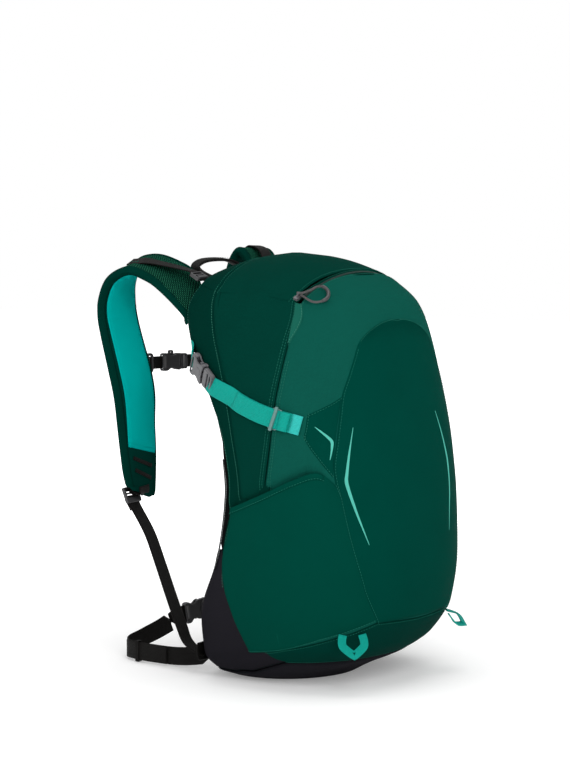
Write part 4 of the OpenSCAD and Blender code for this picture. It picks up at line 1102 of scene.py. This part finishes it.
# ---- shoulder straps
# edges of the shoulder straps, from the yoke round to the ladder lock
LEFT_OUTER = A([[-81, 152.3, 371], [-84, 151, 381], [-90, 181, 410], [-95, 200, 423], [-98, 222, 429], [-101, 246, 419],
                [-103, 257, 399], [-104, 258, 380], [-106, 252, 360], [-108, 239, 322], [-109, 230, 293],
                [-110, 224, 262], [-110, 220, 234], [-109, 217, 212], [-105, 215, 193]])
LEFT_INNER = A([[-42, 163.2, 409], [-44, 176, 430], [-46, 208, 442], [-47, 232, 443], [-47, 250, 436], [-47, 259, 416],
                [-47, 259, 397], [-47, 256, 379], [-47, 250, 359], [-47, 236, 320], [-48, 229, 291],
                [-52, 226, 260], [-56, 221, 230], [-59, 219, 204], [-62, 218, 177]])
RIGHT_OUTER = A([[82, 152.8, 372], [86, 152, 392], [92, 164, 430], [96, 180, 447], [98, 198, 441], [100, 209, 420],
                 [102, 216, 395], [104, 222, 365], [106, 226, 335], [108, 226, 305], [109, 222, 276],
                 [110, 217, 248], [110, 213, 222], [109, 210, 202], [105, 208, 184]])
RIGHT_INNER = A([[42, 163.8, 409], [44, 166, 428], [46, 177, 444], [47, 187, 449], [47, 195, 439], [47, 202, 418],
                 [47, 209, 393], [47, 216, 363], [47, 220, 333], [47, 221, 303], [48, 218, 274],
                 [52, 214, 246], [56, 210, 220], [59, 208, 194], [62, 207, 168]])
def strap_frames(outer, inner, t):
    """middle, direction across, direction to the wearer, width and run of a strap, at the shares t of its length"""
    o, i = spline(outer, t), spline(inner, t)
    mid, across = (o + i) / 2, unit(i - o)
    tan = np.gradient(mid, axis=0)
    wearer = unit(np.cross(tan, across)) * (-1 if outer[0][0] > 0 else 1)
    return mid, across, wearer, np.linalg.norm(i - o, axis=1), unit(tan)


def pad_height(x, wide):
    """half thickness of the pad at a share x of its half width: a thin bound edge, then the foam"""
    edge = np.clip((1 - np.abs(x)) * wide / 2 / 9.0, 0, 1)
    return 1.7 + 3.3 * np.sin(edge * math.pi / 2) ** 0.8


BINDING = [(-2.2, 5.2), (-2.7, 3.2), (-2.4, 0.2), (-1.6, -0.9), (0, -1.3), (1.6, -0.9), (2.4, 0.2), (2.7, 3.2),
           (2.2, 5.2), (0, 5.2)]
STRAP_ROWS = 150


def strap(hand, outer, inner):
    n = STRAP_ROWS
    t = np.linspace(0, 1, n)
    mid, across, wearer, wide, _ = strap_frames(outer, inner, t)
    xs = -np.cos(np.linspace(0, math.pi, 29))
    prof = [(x, 1) for x in xs] + [(x, -1) for x in xs[::-1]]
    k = len(prof)
    s = lengths(mid)
    # the last 9 mm are rounded off, and both ends thinned
    near_end = 1 - np.clip((s[-1] - s) / 9, 0, 1)
    wide = wide - 14 * (1 - np.sqrt(1 - near_end ** 2 * 0.98))
    thin = ease(np.minimum(s, s[-1] - s) / 5)
    verts, uvs = [], []
    for i in range(n):
        half_wide = wide[i] / 2 - 1.5 * (1 - thin[i])
        for x, face in prof:
            h = float(pad_height(x, wide[i])) * lerp(0.45, 1, thin[i])
            verts.append(mid[i] + across[i] * x * half_wide + wearer[i] * face * h)
            uvs.append((s[i], x * half_wide + 100 * face))
    verts = A(verts)
    verts = verts + np.repeat(wearer, k, axis=0) * (rough_noise(verts, 30.0, 2.0) * 0.35)[:, None]
    turn = hand == "left"
    faces, mats = [], []
    for i in range(n - 1):
        for j, (x, face) in enumerate(prof):
            a, b = i * k + j, i * k + (j + 1) % k
            faces.append((b, a, a + k, b + k) if turn else (a, b, b + k, a + k))
            mats.append(int(face < 0 and abs(x) < 0.93 and 0.02 < t[i] < 0.93))
    caps = [tuple(range(k)), tuple(range((n - 1) * k, n * k))]
    faces += [caps[0] if turn else caps[0][::-1], caps[1][::-1] if turn else caps[1]]
    o = add_mesh("strap_pad_" + hand, verts, faces, "strap", None, "strap_fabric", uvs,
                 nodes=["shoulder_strap_" + hand])
    o.data.materials.append(MAT["strap_mesh"])
    o.data.polygons.foreach_set("material_index", mats + [0, 0])
    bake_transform(o)
    # binding: a folded tape round both long edges, with a row of stitches on each face
    for edge, edge_name in ((-1, "outer"), (1, "inner")):
        verts, uvs = [], []
        for i in range(8, n - 2):
            for high, deep in BINDING:
                x = edge * (1 - (deep - 0.6) / (wide[i] / 2))
                scale = float(pad_height(min(1, abs(x)), wide[i])) / 1.7 * 0.98 if deep > 1 else 1.0
                verts.append(mid[i] + across[i] * x * wide[i] / 2 + wearer[i] * high * scale)
                uvs.append((s[i], deep + high))
        faces = loft(n - 10, len(BINDING))
        if (edge < 0) == turn:
            faces = [f[::-1] for f in faces]
        b = add_mesh("strap_binding_%s_%s" % (hand, edge_name), verts, faces, "trim", None, "strap_fabric", uvs)
        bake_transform(b)
        x = 1 - 3.6 / (wide / 2)
        for face in (1, -1):
            high = face * (pad_height(x, wide) + 0.25)
            line = mid + across * (edge * x * wide / 2)[:, None] + wearer * high[:, None]
            stitches("strap_thread_" + hand, line[28:-4], wearer[28:-4] * face)
    return mid, across, wearer


def lining(hand, outer, inner):
    rows, cols = 110, 26
    share = np.linspace(0, 1, STRAP_ROWS)
    mid, across, wearer, wide, tan = strap_frames(outer, inner, share)
    tt = np.linspace(4.0 / 14, 12.0 / 14, rows)
    m, ac, we = (at_lengths(tt, share, v) for v in (mid, across, wearer))
    wd = np.interp(tt, share, wide)
    lat = np.linspace(-24, 24, cols) + 3
    s = lengths(m)
    run = np.gradient(m, axis=0)
    run /= np.linalg.norm(run, axis=1, keepdims=True)
    P = np.zeros((rows, cols, 3))
    for j, l in enumerate(lat):
        slant = 0.16 * (l - 3) * ease(1 - (s[-1] - s) / 40.0)
        ll = np.clip(l, -wd / 2 + 4.0, wd / 2 - 4.0)
        e = np.minimum(np.minimum(s, s[-1] - s), np.minimum(l - lat[0], lat[-1] - l))
        high = pad_height(2 * ll / wd, wd) + lerp(0.35, 1.5, ease(e / 5.0)) + 0.6 * ease(e / 20)
        P[:, j] = m + ac * ll[:, None] + we * high[:, None] + slant[:, None] * run
    P = P + we[:, None, :] * (0.25 * rough_noise(P, 26.0, 6.0))[..., None]
    slab("strap_lining_cloth_" + hand, P, P - we[:, None, :] * 0.9, we[0], "lining", "harness", "lining_fabric",
         ["strap_lining_" + hand], *np.broadcast_arrays(s[:, None], lat[None, :]))
    for line in (P[:, 1], P[:, -2]):
        stitches("lining_thread", line + we * 0.1, we)
    stitches("lining_thread", P[-3], np.tile(we[-3], (cols, 1)))
    for at, reach in ((0.895, 15.0), (0.935, 13.0)):
        i = int(at * (STRAP_ROWS - 1))
        c, d = mid[i] + wearer[i] * 5.5, tan[i]
        path = [c + (across[i] + d * 0.25) * x for x in np.linspace(-reach, reach, 14)]
        webbing("bartack_%s_%d" % (hand, i), path, d, 4.2, 1.4, "harness", smooth_first=False)


STRAPS = (("left", LEFT_OUTER, LEFT_INNER), ("right", RIGHT_OUTER, RIGHT_INNER))
PAD = {}
for hand, outer, inner in STRAPS:
    PAD[hand] = strap(hand, outer, inner)
    lining(hand, outer, inner)

# load lifters and their buckles: the buckle's place, its run, its face and the bow of the webbing
LIFTER = {"left": ([-60.5, 151.2, 423.8], [0.1, -0.85, -0.5], [0, -0.5, 0.85], [0, 0, 1.0]),
          "right": ([60.5, 149.5, 425.5], [-0.1, -0.35, -0.93], [0, -0.93, 0.35], [0, -4.0, 5.0])}
LIFTER_BUCKLE = [([rounded(-6.5, -9.5, 6.5, 9.5, 1.6), rounded(-4.9, -7.6, -2.0, 7.6, 0.7),
                   rounded(-0.2, -7.6, 2.0, 7.6, 0.7)], -2.1, 2.1, 0.6),
                 ([rounded(2.2, -7.8, 6.2, 7.8, 0.8)], 1.2, 3.2, 0.6)]


def station(outer, inner, i):
    """point 6.6 mm off the middle of the strap on its outer face, and the directions across and to the wearer"""
    mid = (outer + inner) / 2
    w = unit(np.cross(mid[i + 1] - mid[i - 1], inner[i] - outer[i])) * (1 if outer[0][0] < 0 else -1)
    return mid[i] - w * 6.6, unit(inner[i] - outer[i]), w


for hand, outer, inner in STRAPS:
    at, run, facing, bow = (A(v, float) for v in LIFTER[hand])
    run, f = unit(run), unit(facing)
    on0, a4, w4 = station(outer, inner, 4)
    on1, a3, w3 = station(outer, inner, 3)
    end = at - run * 6.6
    path = [on0, lerp(on0, on1, 0.5) - w3 * 0.4, on1 - w3 * 0.5, lerp(on1, end - run * 5, 0.5) + bow,
            end - run * 5, end, at - run * 2.2 - f * 0.4]
    aside = A([1, 0.12, 0.0]) * SIGN[hand]
    o = webbing("lifter_web_" + hand, path, [a3, a3, a3, a3 + aside, aside, aside, aside], 15.5, 1.5, None,
                ["load_lifter_" + hand])
    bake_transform(o)
    # the stitched square where the lifter is sewn to the strap
    c = lerp(on0, on1, 0.3) - w4 * 0.95
    d = unit(on1 - on0)
    for u in (-5.5, 5.5):
        stitches("strap_thread_" + hand, [c + a4 * u - d * 5, c + a4 * u + d * 5], -w4)
        stitches("strap_thread_" + hand, [c - a4 * 5.5 + d * u * 0.9, c + a4 * 5.5 + d * u * 0.9], -w4)
    moulded("lifter_lock_" + hand, LIFTER_BUCKLE, frame_at(at, run, facing), "pack", ["lifter_buckle_" + hand])
    # the sewn tab that holds the buckle at the back seam
    root = skin(at + run * 13, -0.6)
    tab = [at + run * 1.0 + f * 1.5, at + run * 5 + f * 0.2, lerp(at + run * 8, root, 0.5), root]
    webbing("lifter_tab_" + hand, tab, aside, 14, 1.4, "pack")

# ladder locks and the lower webbing
WEB = {"left": A([[-89, 220, 172.5], [-92, 196, 144], [-95, 178, 113], [-99, 160, 82], [-103, 141, 50],
                  [-103, 131, 33]]),
       "right": A([[89, 210, 163.5], [92, 190, 138], [95, 174, 110], [99, 158, 80], [103, 141, 50], [103, 131, 33]])}
# each ladder lock: its place, its run and its face
LOCK = {"left": (A([-89.8, 224.2, 183.9]), A([0.05, -0.35, -0.93]), A([-0.1, 0.93, -0.35])),
        "right": (A([89.8, 214.6, 174.9]), A([-0.05, -0.35, -0.93]), A([0.1, 0.93, -0.35]))}
LADDER = [([rounded(-9, -13, 9, 13, 2.2), rounded(-6.2, -10.2, -2.7, 10.2, 1.0),
            rounded(-0.9, -10.2, 2.3, 10.2, 1.0)], -1.8, 1.8, 0.7),
          ([[(4.0, -12.2), (8.9, -10.4), (9.6, 0), (8.9, 10.4), (4.0, 12.2)]], 0.6, 3.0, 0.7),
          ([rounded(-9, -12.6, -6.6, 12.6, 0.9)], -2.3, 2.3, 0.8)]
for hand in ("left", "right"):
    at, along, facing = LOCK[hand]
    moulded("ladder_" + hand, LADDER, frame_at(at, along, facing), "harness", ["ladder_lock_" + hand])
    foot = skin(A([-100, 119, 16]) * SIGN[hand], -1.5)
    d, f = unit(along), unit(facing)
    across = [1, 0.1 * SIGN[hand][0], 0]
    path = np.vstack([[at + d * 0.6 - f * 1.4], [at + d * 4.5 - f * 1.0], WEB[hand], [foot]])
    o = webbing("lower_web_" + hand, path, across, [19.5] * 9 + [18, 12], 1.5, None, ["lower_webbing_" + hand])
    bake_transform(o)
    # the free tail out of the lock, the webbing that holds the lock to the pad, and the end sewn at the foot
    tail = [at + d * 1.2 + f * 0.8, at + d * 5 + f * 3.4, at + d * 10 + f * 2.4, at + d * 16 + f * 0.6 - A([0, 0, 1.0])]
    webbing("lower_tail_" + hand, tail, across, 19.5, 1.4, "harness")
    mid, _, we = PAD[hand]
    keep = [mid[-4] - unit(mid[-1] - mid[-8]) * 4 + we[-4] * 5.4, mid[-1] + we[-1] * 3.4, at - d * 7.8 - f * 2.4,
            at - d * 4.4, at - d * 7.8 + f * 2.0, mid[-1] - we[-1] * 3.2, mid[-4] - we[-4] * 5.2]
    webbing("lock_keeper_" + hand, keep, across, 18, 1.3, "harness")
    fold = [foot + v for v in A([[0, 2.5, 14], [0, 3.2, 7], [0, 2.4, -1], [0, 0.2, -5]])]
    webbing("foot_fold_" + hand, fold, across, [19, 21, 21, 18], 1.6, "pack")


# ---- side-release buckles
def smooth_loop(pts):
    """the outline with its corners cut twice"""
    p = A(pts, float)
    for _ in range(2):
        after = np.roll(p, -1, axis=0)
        p = np.stack([0.75 * p + 0.25 * after, 0.25 * p + 0.75 * after], 1).reshape(-1, 2)
    return [tuple(v) for v in p]


def female(name, long, wide, tall, fr, body, nodes, kind="black", extra=()):
    """socket from 0 to long along its own X, its mouth at long"""
    h, w = tall / 2, wide / 2
    near = [(0, 0.8), (1.2, 1), (long * 0.30, 1), (long * 0.42, 0.72), (long * 0.62, 0.70), (long * 0.78, 0.92),
            (long - 0.8, 0.96), (long, 0.85), (long - 1.4, 0.45)]
    upper = [(x, w * y) for x, y in near]
    arch = smooth_loop([(0, -w * 0.8)] + upper + [(long - 1.8, 0)] + [(x, -y) for x, y in upper[:0:-1]])
    bar = rounded(1.7, -w * 0.74, 4.5, w * 0.74, 0.9)
    parts = [([arch, bar], h - 1.9, h, 0.7), ([arch, bar], -h, -h + 1.9, 0.7)]
    for s in (-1, 1):
        for x0, x1, a, b, r in ((0.6, long * 0.30, 0.80, 0.99, 0.7), (long * 0.80, long - 0.8, 0.76, 0.93, 0.6)):
            y0, y1 = sorted((s * w * a, s * w * b))
            parts.append(([rounded(x0, y0, x1, y1, r)], -h + 1.0, h - 1.0, 0.4))
    parts.append(([rounded(5.0, -w * 0.74, 6.8, w * 0.74, 0.5)], -h + 1.0, h - 1.0, 0.4))
    parts.append(([rounded(long * 0.5, -w * 0.30, long - 4.2, w * 0.30, 1.2)], h - 0.4, h + 0.25, 0.12))
    moulded(name, parts + list(extra), fr, body, nodes, kind)


def male(name, long, wide, tall, reach, fr, body, nodes, kind="black"):
    """plug whose shoulder is at 0 and body runs to long; its prongs reach back into the socket"""
    h, w = tall / 2, wide / 2
    out = [(0, 0.86), (2.2, 0.95), (long * 0.55, 0.9), (long - 1.0, 0.94), (long, 0.7)]
    out = smooth_loop([(0, -w * 0.86)] + [(x, w * y) for x, y in out] + [(x, -w * y) for x, y in out[:0:-1]])
    slots = [rounded(x, -w * 0.72, x + 2.4, w * 0.72, 0.8) for x in [long * 0.42] + [long * 0.42 + 4.8] * (long > 12)]
    parts = [([out] + slots, -h * 0.75, h * 0.75, 0.7)]
    prong = [(1, 0.40), (1, 0.62), (-reach * 0.45, 0.66), (-reach * 0.62, 0.90), (-reach * 0.80, 0.84),
             (-reach, 0.56), (-reach * 0.97, 0.42), (-reach * 0.5, 0.46)]
    for s in (-1, 1):
        pts = smooth_loop([(x, s * w * y) for x, y in prong[::s]])
        parts.append(([pts], -h * 0.42, h * 0.42, 0.4))
    parts.append(([rounded(-reach * 0.85, -w * 0.12, 1, w * 0.12, 0.5)], -h * 0.35, h * 0.35, 0.3))
    moulded(name, parts, fr, body, nodes, kind)


# chest strap
CHEST, C_ALONG, C_FACE = A([0, 230.5, 326]), A([83.0, -18, 1]), A([0.21, 0.98, 0])
fr = frame_at(CHEST, C_ALONG, C_FACE)
cd, cf = unit(C_ALONG), unit(C_FACE)
cs = np.cross(cf, cd)
WHISTLE = ([rounded(9.8, -13.2, 15.8, -6.0, 2.2), rounded(11.6, -11.6, 14.0, -9.4, 0.8)], -2.0, 2.0, 0.8)


def chest_web(name, points, thick, body, nodes=()):
    path = [CHEST + cd * v + cf * o for v, o in points]
    return webbing("chest_" + name, path, cs, 14, thick, body, nodes, 1.5)


female("chest_socket", 25, 20, 6.8, shifted(fr, -27), "chest_strap", ["sternum_buckle"], extra=[WHISTLE])
male("chest_plug", 9.4, 19, 6.2, 13, shifted(fr, -1.5), "chest_plug", ["sternum_plug"])
chest_web("web_left", ((-44, 0), (-38.5, 0), (-33, 0.2), (-28, 0), (-25.4, 0), (-24.6, 1.2)), 1.5, "chest_strap",
          ["sternum_webbing_left"])
w = chest_web("web_right", ((5.2, 0), (9, 0), (16, -0.3), (26, -0.8), (34, -0.4), (38.5, 0), (44, 0)), 1.5,
              "chest_strap", ["sternum_webbing_right"])
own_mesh(w)
chest_web("tail", ((6.4, 1.7), (8.5, 2.4), (11, 2.8), (14, 2.2), (15.5, 1.7)), 1.2, "chest_plug")
for hand, s, x0, x1 in (("left", -1, -3.6, -1.9), ("right", 1, 1.9, 3.6)):
    ring = [rounded(-4.4, -11, 4.4, 11, 3.6), rounded(-1.9, -8.2, 1.9, 8.2, 1.5)]
    moulded("chest_clip_" + hand, [(ring, -1.5, 1.9, 0.8), ([rounded(x0, -6, x1, 6, 0.6)], -3.0, -0.8, 0.5)],
            shifted(fr, s * 42.9), "chest_strap", ["sternum_clips"] if s < 0 else ())

# hip belt
HIP, H_ALONG, H_FACE = A([3.0, 211, 45]), unit([0.96, -0.2, 0.18]), A([0.2, 0.98, 0])
fr = frame_at(HIP, H_ALONG, H_FACE)
hs = np.cross(unit(H_FACE - H_ALONG * (H_FACE @ H_ALONG)), H_ALONG)
root_l, root_r = (skin([x, 120, 14.5], -1.5) for x in (-85, 85))
female("hip_socket", 22, 24, 7, shifted(fr, -17), "hip_belt", ["hip_buckle"])
male("hip_plug", 9.6, 23, 6.4, 12, shifted(fr, 5.1), "hip_plug", ["hip_plug"])
up = A([0, 0, 1.0])
HL = [root_l, root_l + A([-0.5, 12, -0.5]), [-88, 152, 13], [-90, 172, 12], [-91, 209, 12], [-85, 234, 12],
      [-70, 246, 13], [-50, 243, 18], [-34, 230, 28]] + [HIP + H_ALONG * v for v in (-24.4, -17.4, -14.2)]
webbing("hip_web_left", HL, [up] * 9 + [hs] * 3, [4, 19] + [20] * 22, 1.5, "hip_belt", ["hip_belt_left"])
HR = [HIP + H_ALONG * v for v in (11.6, 15.2, 22.2)]
HR += [[48, 196, 46], [74, 175, 35], [82, 152, 20], root_r + A([0.5, 12, 0.5]), root_r]
w = webbing("hip_web_right", HR, [hs] * 3 + [up] * 5, [20] * 14 + [19, 4], 1.5, "hip_belt", ["hip_belt_right"])
tuple(A(HR[-1]) * MM)
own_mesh(w)
# the free end doubled back over the near belt, with its keeper
doubled = [A([x - 1.9 * a, y + 1.9 * b, 12]) for x, y, a, b in (
    (-90, 172, 1, 0), (-91.2, 190, 1, 0), (-91, 209, 1, 0.1), (-88, 226, 0.9, 0.4), (-85, 234, 0.8, 0.6))]
webbing("hip_tail", doubled, up, 19.5, 1.3, "hip_belt")
keeper = [[x, 214, 12.0 + z] for x, z in ((-93.6, -11.2), (-93.6, 11.2), (-88.6, 11.2), (-88.6, -11.2), (-93.6, -11.2))]
webbing("hip_keeper", keeper, [0, 1, 0], 5, 1.1, "hip_belt", smooth_first=False)


# ---- side compression straps
def out_at(p):
    """outward directions of the skin near the points p"""
    p = A(p, float)
    u, v = (skin(p + step) - skin(p - step) for step in (A([0, 0, 4.0]), A([0, 4.0, 0])))
    n = unit(np.cross(u, v))
    return n * np.sign(((p - core(p)) * n).sum(-1, keepdims=True))


def out_cross(path, s):
    p = A(path, float)
    return unit(np.cross(np.gradient(p, axis=0), out_at(p))) * s


B_ALONG = unit([-0.22, -0.8, -0.56])
SEAT = A([-122.0, 94, 330])
b_out = out_at(SEAT)
seat = skin(SEAT, -3.8)
PULL = A([[-132.5, 48, 304], [-133, 30, 296], [-134, 10, 289], [-131, -8, 284], [-126, -25, 280], [-121, -36, 277]])
TRI_GLIDE = [([rounded(-1.7, -12.8, 1.7, 12.8, 1.3)], 0.4, 3.4, 0.8),
             ([rounded(-5.2, -10.9, 5.2, 10.9, 1.4), rounded(-3.4, -9.6, -1.2, 9.6, 0.6),
               rounded(1.2, -9.6, 3.4, 9.6, 0.6)], -2.2, -0.4, 0.5)]


def pull_at(shares, off):
    """points along the compression strap's run, off mm outside the skin"""
    return skin(spline(PULL, A(shares)), -off)


def compression(hand):
    s = SIGN[hand]
    along = B_ALONG * s
    fr = frame_at(seat * s, along, b_out * s)

    def side_web(name, path, wide, thick, nodes=(), **more):
        return webbing("side_%s_%s" % (name, hand), path * s, out_cross(path, s), wide, thick, "pack", nodes,
                       kind="bright", **more)

    female("side_socket_" + hand, 24, 25, 7.5, shifted(fr, -12), "pack", ["compression_buckle_" + hand], "grey")
    male("side_plug_" + hand, 17, 24, 6.6, 13, shifted(fr, 12.3), "compression_plug_" + hand,
         ["compression_plug_" + hand], "grey")
    tab = A([skin([-111.0, 117, 351], -0.5), skin([-113.5, 113, 347.5], -0.7), seat - B_ALONG * 16,
             seat - B_ALONG * 9.6, seat - B_ALONG * 9.2 - b_out * 1.4])
    side_web("tab", tab, 19.5, 1.5, ["compression_tab_" + hand])
    path = np.vstack([[seat + B_ALONG * v for v in (22.6, 27, 31.5)], pull_at(np.linspace(0, 1, 16), 0.9)])
    o = side_web("web", path, 19.5, 1.5, ["compression_strap_" + hand])
    tuple(A(path[-1]) * s * MM)
    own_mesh(o)
    # the doubled-back tail under its tri-glide, ending in a folded, sewn hem
    tail = pull_at(np.linspace(0.12, 0.80, 14), 2.9)
    tail[0] = pull_at([0.10], 2.0)[0]
    side_web("tail", tail, 19.2, 1.4)
    side_web("hem", pull_at([0.68, 0.72, 0.76, 0.80], 4.4), 19.4, 1.4, smooth_first=False)
    # the end past the tri-glide, in the lighter copy of the webbing: a painted highlight where the webbing turns to the
    # light
    path = pull_at(np.linspace(0.82, 1, 8), 1.05)
    ribbon("side_end_painted_highlight_" + hand, path * s, out_cross(path, s), 19.8, 1.5, "painted_highlight_end", "pack", "bright_webbing")
    g = skin([-130.5, -10, 283.5], -2.6)
    joined("tri_glide_%s_moulding" % hand, TRI_GLIDE, frame_at(g * s, A([0.14, -0.95, -0.28]) * s, out_at(g) * s),
           "glide", "pack", "glide_plastic", ["tri_glide_" + hand])


for hand in ("left", "right"):
    compression(hand)


# ---- reflective lines
def accent(name, pts, widths, side):
    p = skin(spline(A(pts, float), np.linspace(0, 1, 60)), -0.95)
    s = SIGN[side]
    ribbon(name + "_" + side, p * s, out_cross(p, s), widths, 0.5, "accent", "pack", "pack_fabric", smooth_first=False)


# bent line of the shield, from the top
BEND = [[-84.6, -74, 275], [-88.5, -74.3, 261], [-92, -74.6, 247.6], [-95.6, -74.7, 229], [-96.6, -74.9, 221],
        [-95, -77.2, 210.5], [-91.6, -80.4, 197], [-88.2, -83.4, 184.8], [-83.2, -86.8, 170], [-78.2, -90, 155.7]]
accent("accent_shield", BEND, [0.5, 1.2, 2.2, 3.2, 3.8, 3.4, 2.8, 2.2, 1.4, 0.5], "left")
RIGHT_BEND = [[-43, -86.3, 284], [-50, -89, 262], [-56, -91, 238], [-57, -92.5, 226], [-55.5, -95, 206],
              [-52.5, -98, 182], [-50, -99.5, 158]]
accent("accent_shield", RIGHT_BEND, [0.5, 1.6, 3.0, 3.6, 2.8, 1.6, 0.5], "right")
for side in ("left", "right"):
    accent("accent_wing", [[-114.1, -48.3, 276.2], [-111.5, -52.6, 272.4], [-106.2, -60, 265], [-104.4, -62.3, 261.4],
                           [-104.6, -62.8, 257.5], [-106, -62.8, 250], [-107.6, -62.4, 243.1]],
           [0.5, 1.6, 2.8, 3.2, 2.8, 1.6, 0.5], side)
edge = skin([[-134, 56, 238], [-138, 50, 212], [-139, 52, 190], [-138.6, 56.5, 165], [-137.6, 60.5, 140],
             [-135, 66, 122]], -0.5)
for hand, m in SIGN.items():
    ribbon("edge_mesh_" + hand, edge * m, out_cross(edge, m), [2, 3.4, 3.4, 3.4, 3, 1.6], 0.8, "edge_mesh", "pack",
           "back_mesh")

# ---- threads and finishing
THREAD = {"thread": ("thread", "pack", "pack_fabric"), "bright_thread": ("thread_bright", "pack", "trim_fabric"),
          "dark_thread": ("dark_thread", "pack", "base_fabric"), "flap_thread": ("thread", "flap", "pack_fabric"),
          "haul_thread": ("dark_thread", "haul_loop", "black_webbing"),
          "strap_thread_left": ("thread", "harness", "strap_fabric"),
          "strap_thread_right": ("thread", "harness", "strap_fabric"),
          "lining_thread": ("lining", "harness", "lining_fabric")}
for group, (verts, faces) in STITCH.items():
    add_mesh("stitches_" + group, verts, faces, *THREAD[group])

frame_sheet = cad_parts["frame_sheet"].data
frame_sheet.materials.clear()
frame_sheet.materials.append(plastic("frame_plastic", srgb(188, 188, 184)))

studio()
low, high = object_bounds()
